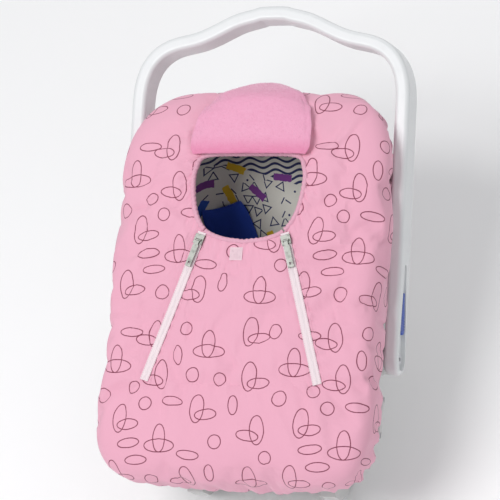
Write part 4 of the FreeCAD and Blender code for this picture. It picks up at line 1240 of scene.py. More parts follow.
    def unroll(self, shape: Grid, inner: Grid, out: Grid, spokes: int) -> Grid:
        """Cloth coordinates that follow the surface without stretching.

        Args:
            shape: Surface in the rim frame.
            inner: Opening edge.
            out: Outward direction of the outline at each spoke.
            spokes: Number of spokes.

        Returns:
            Cloth position of every point, in metres.
        """
        flat = np.zeros((len(shape), spokes, 2))
        flat[0] = inner
        for k in range(1, len(shape)):
            step = shape[k] - shape[k - 1]
            length = np.linalg.norm(step, axis=-1)
            plan = step[:, :2]
            size = np.linalg.norm(plan, axis=-1)
            share = smooth_step(0.25, 0.75, size / np.maximum(length, 1e-9))
            course = unit(unit(plan) * share[:, None] + out * (1.0 - share[:, None]))
            flat[k] = flat[k - 1] + course * length[:, None]
        return flat * MM

    def zone_faces(self, *zones: Zone) -> list[tuple[int, ...]]:
        """Faces of some parts of the cover."""
        rows, columns = self.points.shape[:2]
        half = self.panel_spokes // 2
        across = self.points[..., 0] / MM
        found = []
        for i in range(rows - 1):
            for j in range(columns):
                k = (j + 1) % columns
                middle = 0.25 * (across[i, j] + across[i + 1, j] + across[i, k] + across[i + 1, k])
                zone = Zone.MIDDLE
                if i < self.inner_rings and (j < half or j >= columns - half):
                    zone = Zone.PANEL
                elif abs(middle) > self.split_x:
                    zone = Zone.RIGHT if middle > 0 else Zone.LEFT
                if zone in zones:
                    upper, lower = i * columns, (i + 1) * columns
                    found.append((upper + j, lower + j, lower + k, upper + k))
        return found

    def settle(self) -> None:
        """Let the whole cloth pucker a little between its seams."""
        rows, columns = self.points.shape[:2]
        faces = self.zone_faces(*Zone)
        cloth = make_object("cover_settling", self.points, faces, self.fabric)
        local = RIM.local(self.points)
        zip_gap = self.zip_distance(local)
        pin = (1.0 - smooth_step(5.0, 16.0, zip_gap)) * (local[..., 1] < 130)
        pin[:2] = 1.0
        pin[-3:] = 1.0
        pin[self.inner_rings] = np.maximum(pin[self.inner_rings], 0.3)
        inflate(cloth, pin.ravel(), 0.9, 0.0045, 18, 0.035)
        moved = np.zeros(rows * columns * 3, np.float32)
        cloth.data.vertices.foreach_get("co", moved)
        local = RIM.local(moved.reshape(rows, columns, 3).astype(float))
        self.points = RIM.world(self.held_in(local))
        bpy.data.objects.remove(cloth)

    def on_surface(self, x: float, s: float, lift: float) -> Vector:
        """Point of the settled cover over a place in the plan."""
        if not hasattr(self, "tree"):
            faces = self.zone_faces(*Zone)
            flat = [Vector(p) for p in self.points.reshape(-1, 3)]
            self.tree = BVHTree.FromPolygons(flat, faces)
        up = Vector(RIM.direction([0.0, 0.0, 1.0])).normalized()
        hit = self.tree.ray_cast(Vector(RIM.world([x, s, 160.0])), -up)[0]
        if hit is None:
            hit = Vector(RIM.world([x, s, float(self.height(np.array(abs(x)), np.array(s)))]))
        return hit + up * lift * MM

    def build(self, print_finish: Material, binding: Material) -> None:
        """Make the cover, its panel, bindings and hem.

        Args:
            print_finish: Printed cotton.
            binding: Gathered binding cotton.
        """
        self.build_grid()
        self.settle()
        names = {Zone.MIDDLE: ("cover_quilt", ["cover_head", "cover_foot"]),
                 Zone.LEFT: ("cover_side_quilt_left", ["cover_side_left"]),
                 Zone.RIGHT: ("cover_side_quilt_right", ["cover_side_right"])}
        for zone, (name, nodes) in names.items():
            part = thick_sheet(name, self.points, self.zone_faces(zone), self.thick * MM, self.fabric)
            finish_piece(part, print_finish, "seat", nodes)
            if zone is not Zone.MIDDLE:
                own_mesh(part)
        panel = thick_sheet("front_panel_quilt", self.points, self.zone_faces(Zone.PANEL), self.thick * MM,
                            self.fabric)
        panel.data.materials.append(print_finish)
        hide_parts("front_panel")
        Vector(RIM.world([0, self.zip_end[1] + 2.0, 66]))
        Vector(RIM.world([0, self.zip_end[1] + 34.0, 67]))
        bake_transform(panel)
        LOG.info("front_panel_quilt bends between seat and panel")
        self.build_binding(binding)
        self.build_hem(print_finish)

    def tube(self, centres: Grid, up: Grid, radius: float, pitch: float, closed: bool,
             flat: float = 1.0) -> tuple[Grid, list, Grid]:
        """Gathered tube of cloth along a path.

        Args:
            centres: Path in metres.
            up: Up vector at each point.
            radius: Radius in millimetres.
            pitch: Spacing of the gathers in millimetres.
            closed: True for a closed path.
            flat: Height as a share of the width.

        Returns:
            Points, faces and cloth coordinates.
        """
        side, top = path_frames(centres, up, closed)
        run = run_along(centres) / MM

        def profile(i: int) -> list[tuple[float, float]]:
            """Profile of one step, pinched by the gathers."""
            place = run[i]
            pinch = 1.0 + 0.07 * math.sin(place * 2 * math.pi / pitch + math.sin(place / 21.0))
            shape = []
            for k in range(TUBE_SIDES):
                angle = 2 * math.pi * k / TUBE_SIDES
                crease = 0.10 * math.sin(3 * angle + place * 0.9) + 0.05 * math.sin(5 * angle - place * 1.7)
                r = radius * MM * pinch * (1.0 + crease)
                shape.append((r * math.cos(angle), r * flat * math.sin(angle)))
            return shape

        return sweep(centres, side, top, profile, closed)

    def build_binding(self, binding: Material) -> None:
        """Gathered roll round the face opening, split where the panel leaves."""
        edge = resample(self.opening, 400)
        gap = np.linalg.norm(edge - self.zip_top, axis=1)
        split = int(np.argmin(gap))
        upper = edge[split + 2:]
        upper = np.vstack([upper, upper[::-1][1:] * [-1.0, 1.0]])
        lower = edge[:split - 1]
        lower = np.vstack([lower[::-1] * [-1.0, 1.0], lower[1:]])
        for name, line, body, node in (("opening_binding_roll", upper, "seat", "opening_binding"),
                                       ("panel_binding_roll", lower, "panel", "panel_binding")):
            length = float(np.sum(np.linalg.norm(np.diff(line, axis=0), axis=1)))
            line = resample(line, int(length / 1.6))
            centre = np.array([0.0, 174.0])
            pulled = line + unit(centre - line) * 1.6
            height = self.height(np.abs(pulled[:, 0]), pulled[:, 1]) - 2.6
            path = RIM.world(np.concatenate([pulled, height[:, None]], axis=1))
            batch = self.tube(path, np.tile(RIM_UP, (len(path), 1)), 4.0, 7.5, False, 1.15)
            roll = join(name, [batch])
            fix_normals(roll)
            finish_piece(roll, binding, body, [node])

    def build_hem(self, material: Material) -> None:
        """Elastic hem roll that follows the lower edge all round."""
        low = RIM.local(self.points[-1])
        low[:, 2] -= 2.4
        low[:, 0] = np.clip(low[:, 0], -self.hem_limit, self.hem_limit)
        loop = resample(low, 620, True)
        path = RIM.world(loop)
        points, faces, cloth = self.tube(path, np.tile(RIM_UP, (len(path), 1)), 3.4, 9.0, True, 1.25)
        cloth = cloth + np.repeat(loop[:, :2] * MM, TUBE_SIDES, axis=0)
        hem = make_object("elastic_hem_roll", points, faces, cloth)
        fix_normals(hem)
        finish_piece(hem, material, "seat", ["elastic_hem_head", "elastic_hem_foot"])


# Zips
@dataclass
class ZipFasteners:
    """Woven zip tapes, their coils, seam stitches, and the fastening patch."""

    cover: CoverCloth
    half_width: float = 6.6
    tape_thick: float = 1.2
    tape_length: float = 236.0
    wire: float = 0.62
    thread_radius: float = 0.34
    coil_half: float = 1.9
    tooth_pitch: float = 1.9
    stitch_pitch: float = 3.4
    stitch_len: float = 2.2

    def line(self, side: float, across: float, start: float, end: float, step: float) -> Grid:
        """Points along one zip.

        Args:
            side: -1 left, 1 right.
            across: Offset outward from the zip line.
            start: Distance from the top.
            end: Distance from the lower end.
            step: Spacing.

        Returns:
            Rim-frame places in the plan.
        """
        top, low = np.array(self.cover.zip_top), np.array(self.cover.zip_end)
        course = unit(low - top)
        beside = np.array([-course[1], course[0]])
        if beside[0] < 0:
            beside = -beside
        length = float(np.linalg.norm(low - top))
        run = np.arange(start, length - end, step)
        flat = top + course * run[:, None] + beside * across
        return flat * [side, 1.0]

    def lay(self, flat: Grid, lift: float) -> Grid:
        """Lay places on the cloth over the CAD cover height."""
        height = self.cover.height(np.abs(flat[..., 0]), flat[..., 1])
        return RIM.world(np.concatenate([flat, (height + lift)[..., None]], axis=-1))

    def build(self, tape: Material, teeth: Material, thread: Material,
              patch: Material) -> None:
        """Make both zips and the patch."""
        for side, name in ((-1.0, "left"), (1.0, "right")):
            across = np.linspace(-self.half_width, self.half_width, 9)
            rows = np.array([self.line(side, a, 3.0, 1.0, 3.0) for a in across]).transpose(1, 0, 2)
            points = self.lay(rows, 0.5)
            run = np.arange(len(rows)) * 3.0 * MM
            cloth = np.stack(np.meshgrid(across * MM, run), axis=-1)
            faces = grid_faces(len(rows), len(across))
            if side > 0:
                faces = [face[::-1] for face in faces]
            body = thick_sheet("zip_tape_" + name + "_woven", points, faces, self.tape_thick * MM, cloth, 0.9)
            fix_normals(body)
            finish_piece(body, tape, "panel", ["zip_tape_" + name])
            batches = []
            for k, spot in enumerate(self.lay(self.line(side, 0.0, 6.0, 2.0, self.tooth_pitch), 1.75)):
                lean = self.coil_half * (0.25 if k % 2 else -0.25)
                batches.append(self.tooth(spot, side, lean, RIM_UP))
            coil = join("zip_coil_" + name, batches)
            finish_piece(coil, teeth, "panel")
            stitches = []
            for offset in (-self.half_width + 1.0, self.half_width - 1.0, self.half_width + 3.6,
                           -self.half_width - 3.6):
                own = abs(offset) < self.half_width
                ends = self.line(side, offset, 6.0, 2.0, self.stitch_pitch)
                for spot in ends:
                    stitches.append(self.stitch(spot, side, own))
            sewn = join("zip_stitches_" + name, [s for s in stitches if s is not None])
            finish_piece(sewn, thread, "panel")
        self.build_patch(patch)

    def tooth(self, spot: Grid, side: float, lean: float, up: Grid) -> tuple[Grid, list, Grid]:
        """One rounded link of the coil."""
        course = self.direction(side)
        beside = unit(np.cross(course, up))
        top = unit(np.cross(beside, course))
        points = []
        for a in (-1.0, -0.6, 0.0, 0.6, 1.0):
            thick = self.wire * MM * math.sqrt(1.0 - (0.9 * a) ** 2)
            centre = spot + beside * (a * self.coil_half + lean) * MM
            for angle in range(6):
                t = 2 * math.pi * angle / 6
                points.append(centre + (course * math.cos(t) + top * math.sin(t)) * thick)
        faces = grid_faces(5, 6, True) + [tuple(range(6))[::-1], tuple(range(24, 30))]
        points = np.array(points)
        return points, faces, points[:, :2]

    def direction(self, side: float) -> Grid:
        """Unit vector down one zip in the row frame."""
        top, low = self.cover.zip_top, self.cover.zip_end
        rise = float(self.cover.height(np.array(low[0]), np.array(low[1]))
                     - self.cover.height(np.array(top[0]), np.array(top[1])))
        step = np.array([side * (low[0] - top[0]), low[1] - top[1], rise])
        return unit(RIM.direction(step))

    def stitch(self, flat: Grid, side: float, on_tape: bool) -> Optional[tuple[Grid, list, Grid]]:
        """One sewn stitch lying on the tape or on the cloth beside it."""
        course = self.direction(side)
        if on_tape:
            spot = self.lay(flat[None], 1.75)[0]
        else:
            spot = np.array(self.cover.on_surface(float(flat[0]), float(flat[1]), 0.15))
        up = unit(RIM_UP)
        beside = unit(np.cross(course, up))
        half = 0.5 * self.stitch_len * MM
        points = [spot + course * half, spot - course * half]
        for share in (-0.5, 0.5):
            for angle in range(4):
                t = math.pi * (0.25 + 0.5 * angle)
                off = (beside * math.cos(t) + up * math.sin(t)) * self.thread_radius * MM
                points.append(spot + course * half * share + off)
        faces = []
        for k in range(4):
            n = (k + 1) % 4
            faces += [(0, 6 + n, 6 + k), (1, 2 + k, 2 + n), (2 + k, 6 + k, 6 + n, 2 + n)]
        points = np.array(points)
        return points, faces, points[:, :2]

    def build_patch(self, patch: Material) -> None:
        """Small square of loop tape sewn on the panel below the opening."""
        xs, ss = np.linspace(-17.6, 1.6, 9), np.linspace(78.4, 97.6, 9)
        flat = np.stack(np.meshgrid(xs, ss), axis=-1)
        points = self.lay(flat, 0.6)
        body = thick_sheet("hook_loop_square", points, grid_faces(9, 9), 1.1 * MM, flat * MM, 0.9)
        fix_normals(body)
        finish_piece(body, patch, "panel", ["hook_loop_patch"])
        rng = random.Random(7)
        loops = []
        for _ in range(700):
            spot = self.lay(np.array([[rng.uniform(-16.4, 0.4), rng.uniform(79.6, 96.4)]]), 1.6)[0]
            loops.append(fibre(spot, rng, 0.8 * MM, 0.09 * MM))
        finish_piece(join("hook_loop_pile", loops), patch, "panel")


def fibre(spot: Grid, rng: random.Random, length: float, width: float,
          up: Optional[Grid] = None) -> tuple[Grid, list, Grid]:
    """One curled thin fibre standing on a surface.

    Args:
        spot: Root in metres.
        rng: Source of its direction.
        length: Length in metres.
        width: Width at the root.
        up: Direction of the surface.

    Returns:
        Points, faces and cloth coordinates.
    """
    if up is None:
        up = unit(RIM_UP)
    lean = np.array([rng.uniform(-1, 1), rng.uniform(-1, 1), rng.uniform(-1, 1)])
    course = unit(up + 0.7 * lean)
    side = unit(np.cross(course, lean + 0.01))
    other = np.cross(course, side)
    bend = other * length * 0.35
    ring = [side * math.cos(t) * width + other * math.sin(t) * width for t in (0.0, 2.1, 4.2)]
    points = [spot + p for p in ring] + [spot + course * length * 0.55 + p * 0.7 for p in ring]
    points.append(spot + course * length * 0.85 + bend)
    faces = [(0, 1, 4, 3), (1, 2, 5, 4), (2, 0, 3, 5), (3, 4, 6), (4, 5, 6), (5, 3, 6), (2, 1, 0)]
    points = np.array(points)
    return points, faces, points[:, :2]


# Face flap
@dataclass
class FaceFlap:
    """Fleece-lined flap folded back over the head end, bending at its knuckle."""

    half_width: float = 93.0
    hinge: tuple = (234.0, 89.0)
    knuckle: tuple = (322.5, 83.0)
    drop: float = 50.0
    end_run: float = 66.0
    thick: float = 9.0
    cloth_run: float = 160.0
    columns: int = 61
    rows: int = 66
    fibres: int = 9000

    def path(self, share: Grid) -> tuple[Grid, Grid]:
        """Middle line of the flap.

        Args:
            share: 0 at the fold, 1 at the far end.

        Returns:
            Places along the rim with heights, and unit normals.
        """
        bend = math.radians(self.drop)
        end = np.array(self.knuckle) + np.array([math.cos(bend), -math.sin(bend)]) * self.end_run
        near = (self.knuckle[0] - 14.0, self.knuckle[1] + 0.95)
        far = (self.knuckle[0] + 9.5, self.knuckle[1] - 8.6)
        line = resample([(236.5, 88.6), (262.0, 87.4), near, far, end], 300)
        run = run_along(line)
        spot = np.stack([np.interp(share * run[-1], run, line[:, i]) for i in (0, 1)], axis=-1)
        slope = np.gradient(line, axis=0)
        course = np.stack([np.interp(share * run[-1], run, slope[:, i]) for i in (0, 1)], axis=-1)
        course = unit(course)
        return spot, np.stack([-course[..., 1], course[..., 0]], axis=-1)

    def build_body(self) -> Piece:
        """Closed pillow-edged body of the flap."""
        u = np.sin(np.linspace(-math.pi / 2, math.pi / 2, self.columns))
        v = 0.5 - 0.5 * np.cos(np.linspace(0.0, math.pi, self.rows))
        spot, normal = self.path(v)
        layers = []
        for sign in (1.0, -1.0):
            rows = []
            for i, share in enumerate(v):
                low = np.clip((share - 0.52) / 0.48, 0.0, 1.0)
                tip = np.clip((share - 0.14) / 0.86, 0.0, 1.0)
                root = np.clip((0.10 - share) / 0.10, 0.0, 1.0)
                width = self.half_width * math.sqrt(1.0 - 0.90 * tip ** 1.9)
                width *= 1.0 - 0.065 * root ** 2
                x = u * width
                edge_u = 1.0 - np.abs(u) ** 7
                edge_v = 1.0 - abs(2.0 * share - 1.0) ** 16
                fill = np.sqrt(np.clip(edge_u * edge_v, 0.0, 1.0))
                crown = 0.5 * self.thick * fill * (0.80 + 0.20 * (1.0 - u ** 2))
                seam = 0.75 * np.exp(-((np.abs(x) - (width - 7.0)) / 1.3) ** 2)
                wave = 0.9 * np.sin(x / 21.0 + 4.0 * share) * (0.3 + 0.7 * low)
                fall = 1.0 + 3.0 * smooth_step(0.15, 0.35, share) + 8.0 * smooth_step(0.40, 0.56, share)
                sag = -fall * (1.0 - smooth_step(0.60, 0.80, share)) * np.abs(u) ** 2.4
                off = sign * np.maximum(crown - seam * (share > 0.04), 0.0) + wave * 0.5 * fill + sag
                pull = 9.0 * low * np.abs(u) ** 3
                rows.append(np.stack([x, spot[i, 0] + normal[i, 0] * off - pull,
                                      spot[i, 1] + normal[i, 1] * off - pull * 0.2], axis=-1))
            layers.append(np.array(rows))
        flat = np.stack(np.meshgrid(u * self.half_width, v * self.cloth_run), axis=-1).reshape(-1, 2) * MM
        made = pillow("face_flap_fleece", RIM.world(layers[0]), RIM.world(layers[1]), flat)
        fix_normals(made, 0.00005)
        made.data.polygons.foreach_set("use_smooth", [True] * len(made.data.polygons))
        return made

    def build(self, fleece: Material) -> None:
        """Make the flap and its nap."""
        body = self.build_body()
        inflate(body, None, 1.2, 0.0022, 14)
        mesh = body.data
        rng = random.Random(11)
        areas = np.array([face.area for face in mesh.polygons])
        share = np.cumsum(areas) / areas.sum()
        nap = []
        for _ in range(self.fibres):
            face = mesh.polygons[int(np.searchsorted(share, rng.random()))]
            corner = [np.array(mesh.vertices[i].co) for i in face.vertices]
            a, b = rng.random(), rng.random()
            near = corner[0] * (1 - a) + corner[1] * a
            spot = near * (1 - b) + (corner[2] * a + corner[-1] * (1 - a)) * b
            nap.append(fibre(spot, rng, rng.uniform(0.9, 1.9) * MM, 0.10 * MM, np.array(face.normal)))
        pile = join("face_flap_nap", nap)
        start = Vector(RIM.world([0.0, self.knuckle[0] - 12.0, 84.0]))
        end = Vector(RIM.world([0.0, self.knuckle[0] + 6.0, 78.0]))
        for piece in (body, pile):
            piece.data.materials.clear()
            piece.data.materials.append(fleece)
            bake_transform(piece)
            LOG.info("%s bends between flap and flap_end", piece.name)
        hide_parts("flap_upper", "flap_tip")


# Seat pad and harness
@dataclass
class SeatPad:
    """Printed pad that lines the tub."""

    voxel: float = 5.0
    channel: float = 2.2
    lengthwise: tuple = (-62.0, 62.0)
    crosswise: tuple = (-40.0, 34.0, 118.0)
    crease: tuple = (110.0, -118.0)

    def build(self, finish: Material) -> None:
        """Make the pad from its CAD solid, filled and quilted."""
        source = frame["nodes"]["seat_pad"]
        mesh = source.data.copy()
        mesh.name = "seat_pad_quilt"
        pad = bpy.data.objects.new("seat_pad_quilt", mesh)
        bpy.context.scene.collection.objects.link(pad)
        pad.data = self.applied(pad)
        self.quilt(pad)
        pad.data.polygons.foreach_set("use_smooth", [True] * len(pad.data.polygons))
        finish_piece(pad, finish, "seat", ["seat_pad"])

    def applied(self, pad: Piece) -> bpy.types.Mesh:
        """The pad's mesh after an even remesh and a light smoothing."""
        remesh = pad.modifiers.new("Even", "REMESH")
        remesh.mode = "VOXEL"
        remesh.voxel_size = self.voxel * MM
        relax = pad.modifiers.new("Relax", "SMOOTH")
        relax.factor = 0.5
        relax.iterations = 3
        shown = pad.evaluated_get(bpy.context.evaluated_depsgraph_get())
        mesh = bpy.data.meshes.new_from_object(shown)
        pad.modifiers.clear()
        return mesh

    def quilt(self, pad: Piece) -> None:
        """Press sewn channels, add soft fullness, and store cloth coordinates."""
        count = len(pad.data.vertices)
        co = np.zeros(count * 3, np.float32)
        pad.data.vertices.foreach_get("co", co)
        normals = np.zeros(count * 3, np.float32)
        pad.data.vertices.foreach_get("normal", normals)
        co, normals = co.reshape(-1, 3).astype(float), normals.reshape(-1, 3)
        local = RIM.local(co)
        up = RIM.direction([0.0, 0.0, 1.0])
        facing = smooth_step(-0.1, 0.35, normals @ unit(up))
        dip = np.zeros(count)
        for x in self.lengthwise:
            dip = np.maximum(dip, np.exp(-((local[:, 0] - x) / 4.5) ** 2) * (local[:, 1] < 150))
        for s in self.crosswise:
            dip = np.maximum(dip, np.exp(-((local[:, 1] - s) / 4.5) ** 2) * (np.abs(local[:, 0]) < 110))
        soft = noise_at(co, 0.06, 5.3) * 1.0
        co -= normals * ((dip * self.channel + np.maximum(-soft, 0.0)) * facing * MM)[:, None]
        pad.data.vertices.foreach_set("co", co.astype(np.float32).ravel())
        slope = math.radians(BACK_SLOPE)
        up_back = (local[:, 1] * math.cos(slope) + (local[:, 2] - self.crease[1]) * math.sin(slope)
                   + self.crease[0] * (1.0 - math.cos(slope)))
        along = np.where(local[:, 1] > self.crease[0], up_back, local[:, 1])
        cloth = np.stack([local[:, 0], along, np.zeros(count)], axis=1) * MM
        layer = pad.data.attributes.new("fabric", "FLOAT_VECTOR", "POINT")
        layer.data.foreach_set("vector", cloth.astype(np.float32).ravel())


@dataclass
class Harness:
    """Webbing and shoulder pads of the harness."""

    web: float = 2.0
    clear: float = 0.5
    strap_half: float = 18.6
    top_x: float = 85.0
    slot_s: float = 203.0
    low_x: float = 24.0
    crotch_slot: float = -85.9
    adjust_slot: float = -151.9
    pad_half: float = 36.0

    def __post_init__(self) -> None:
        """Prepare the surfaces that the webbing lies on."""
        self.pad = surface_of("seat_pad")
        self.shell = surface_of("shell")

    def rows(self, ends: Sequence, half: float, count: int, columns: int = 9) -> Grid:
        """Plan places of a ribbon between two (x, s) ends."""
        (x0, s0), (x1, s1) = ends
        course = unit(np.array([x1 - x0, s1 - s0]))
        beside = np.array([-course[1], course[0]])
        centre = np.linspace((x0, s0), (x1, s1), count)
        across = np.linspace(-half, half, columns)
        return centre[:, None, :] + beside * across[None, :, None]

    def ribbon(self, name: str, grids: Sequence[Grid], node: str, webbing: Material) -> None:
        """Webbing through several laid stretches.

        Args:
            name: Name of the piece.
            grids: Stretches of laid points, each row across the webbing.
            node: CAD node that it stands for.
            webbing: Its material.
        """
        points = np.concatenate(grids)
        middle = points[:, points.shape[1] // 2]
        run = run_along(middle)
        width = np.linalg.norm(points[0, -1] - points[0, 0])
        cloth = np.stack(np.meshgrid(np.linspace(0.0, width, points.shape[1]), run), axis=-1)
        strap = thick_sheet(name, points, grid_faces(*points.shape[:2]), self.web * MM, cloth, 0.5)
        fix_normals(strap)
        finish_piece(strap, webbing, "seat", [node])

    def link(self, top: Grid, low: Grid) -> Grid:
        """Short stretch through a slot, between two laid rows."""
        shares = np.array([0.25, 0.5, 0.75])[:, None, None]
        return top[None] * (1 - shares) + low[None] * shares

    def build(self, webbing: Material, pad_cloth: Material) -> None:
        """Make the straps and pads."""
        gap = self.clear + 0.5 * self.web
        for side, name in ((-1.0, "left"), (1.0, "right")):
            front = drape(self.pad, self.rows([(side * self.low_x, 40.0), (side * self.top_x, self.slot_s)],
                                              self.strap_half, 34), gap)
            back = drape(self.shell, self.rows([(side * self.top_x, self.slot_s - 1.0), (side * 34.0, 133.0)],
                                               13.5, 14), 0.6 + 1.1, True)
            self.ribbon("shoulder_webbing_" + name, [front, self.link(front[-1], back[0]), back],
                        "shoulder_strap_" + name, webbing)
            self.shoulder_pad(side, name, pad_cloth)
        flat = drape(self.pad, self.rows([(0.0, -19.0), (0.0, self.crotch_slot)], 18.6, 16), gap)
        low = drape(self.shell, self.slot_row(self.crotch_slot, 17.6), 2.6, True)
        self.ribbon("crotch_webbing", [flat, self.link(flat[-1], low[0]), low], "crotch_strap", webbing)
        tail = drape(self.pad, self.rows([(0.0, -118.0), (0.0, self.adjust_slot)], 11.6, 10), gap)
        under = drape(self.shell, self.rows([(0.0, self.adjust_slot), (0.0, 118.0)], 11.6, 60), 5.9, True)
        whole = [tail, self.link(tail[-1], under[0]), under]
        self.ribbon("adjuster_webbing", whole, "adjuster_strap", webbing)

    def slot_row(self, s: float, half: float) -> Grid:
        """One row across a slot."""
        across = np.linspace(-half, half, 9)
        return np.stack([across, np.full(9, s)], axis=-1)[None]

    def shoulder_pad(self, side: float, name: str, cloth: Material) -> None:
        """Crowned padded sleeve on a shoulder strap, with a sewn border."""
        columns, count = 25, 36
        u = np.sin(np.linspace(-math.pi / 2, math.pi / 2, columns))
        v = 0.5 - 0.5 * np.cos(np.linspace(0.0, math.pi, count))
        start, end = np.array([side * 58.0, 96.0]), np.array([side * 95.0, 207.0])
        course = unit(end - start)
        beside = np.array([-course[1], course[0]])
        pull = 1.0 - np.abs(2 * v - 1.0) ** 8 * 0.14
        middle = (start + (end - start) * v[:, None])[:, None, :]
        flat = middle + beside * (u[None, :] * self.pad_half * pull[:, None])[..., None]
        fill = np.sqrt(np.clip((1 - np.abs(u[None, :]) ** 5) * (1 - np.abs(2 * v[:, None] - 1) ** 9), 0, 1))
        seam = 1.1 * np.exp(-((np.abs(u[None, :]) * 35.0 - 27.0) / 1.6) ** 2)
        top_h = 3.4 + (9.4 * fill * (0.72 + 0.28 * (1 - u[None, :] ** 2)) - seam * fill)
        laid = flat.copy()
        laid[..., 1] = np.minimum(laid[..., 1], self.slot_s - 9.0)
        climb = RIM.direction([0.0, 1.0, math.tan(math.radians(BACK_SLOPE))])
        base = drape(self.pad, laid, 3.8) + climb * (flat - laid)[..., 1:]
        for _ in range(8):
            base[1:-1] = 0.25 * (base[:-2] + base[2:]) + 0.5 * base[1:-1]
            base[:, 1:-1] = 0.25 * (base[:, :-2] + base[:, 2:]) + 0.5 * base[:, 1:-1]
        up = unit(RIM_UP)
        grid_up = np.cross(np.gradient(base, axis=1), np.gradient(base, axis=0))
        grid_up = unit(grid_up * np.sign(grid_up @ up)[..., None])
        top = base + grid_up * ((top_h - 3.2) * MM)[..., None]
        size = columns * count
        pad = pillow("shoulder_pad_" + name + "_cushion", top, base, flat.reshape(-1, 2) * MM)
        fix_normals(pad)
        inflate(pad, [0.0] * size + [1.0] * size, 2.0, 0.0035, 14)
        finish_piece(pad, cloth, "seat", ["shoulder_pad_" + name])


# Small soft parts and hard parts
@dataclass
class SideTag:
    """Blank woven tag sewn under the hem at the foot."""

    def build(self, finish: Material) -> None:
        """Make the tag, slightly curled."""
        low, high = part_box("side_tag")
        columns, rows = 9, 12
        points = np.zeros((rows, columns, 3))
        for i in range(rows):
            for j in range(columns):
                a, b = j / (columns - 1), i / (rows - 1)
                curl = 0.0016 * math.sin(a * math.pi) * b
                back = 0.5 * (low.y + high.y) - curl - 0.003 * (b - 0.5)
                points[i, j] = (low.x + (high.x - low.x) * a, back, high.z + (low.z - high.z) * b)
        flat = np.stack(np.meshgrid(np.linspace(0, high.x - low.x, columns),
                                    np.linspace(0, high.z - low.z, rows)), axis=-1)
        tag = thick_sheet("side_tag_woven", points, grid_faces(rows, columns), 0.0007, flat, 0.5)
        fix_normals(tag)
        finish_piece(tag, finish, "seat", ["side_tag"])


@dataclass
class HardParts:
    """CAD nodes that stay, each with its finish and softened edges."""

    bevel: float = 0.0005
    crisp: tuple = ("zip_slider_left", "zip_slider_right", "zip_pull_left", "zip_pull_right",
                    "release_button_left", "release_button_right", "base_frame", "belt_guide_left",
                    "belt_guide_right", "chest_clip_left", "chest_clip_right", "harness_adjuster",
                    "buckle_tongue_left", "buckle_tongue_right")

    def dress(self, finishes: dict[str, Material]) -> None:
        """Give every CAD node that still shows its slot's finish."""
        slots = {part["node"]: part["material_slot"] for part in frame["record"]["subparts"]}
        for name, obj in frame["nodes"].items():
            if obj.hide_render:
                continue
            material = finishes[slots[name]]
            if not obj.material_slots:
                obj.data.materials.append(material)
            for slot in obj.material_slots:
                slot.link = "OBJECT"
                slot.material = material
            if name in self.crisp:
                bevel = obj.modifiers.new("Soft edges", "BEVEL")
                bevel.width = self.bevel
                bevel.segments = 2
                bevel.limit_method = "ANGLE"
                bevel.angle_limit = math.radians(50)
            LOG.info("%s keeps its CAD shape in %s", name, material.name)

    def springs(self, steel: Material) -> None:
        """Lock springs copied from their CAD parts, carried with the handle."""
        for name in ("left", "right"):
            slide = next(j for j in frame["joints"] if j["name"] == "release_" + name + "_slide")
            axis, travel = Vector(slide["axis"]).normalized(), slide["range_m"][1]
            mesh = frame["nodes"]["lock_spring_" + name].data.copy()
            coil = bpy.data.objects.new("lock_spring_" + name + "_coil", mesh)
            bpy.context.scene.collection.objects.link(coil)
            places = [vertex.co.dot(axis) for vertex in mesh.vertices]
            finish_piece(coil, steel, "handle", ["lock_spring_" + name])
            1.0 - travel / (max(places) - min(places))
            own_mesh(coil)


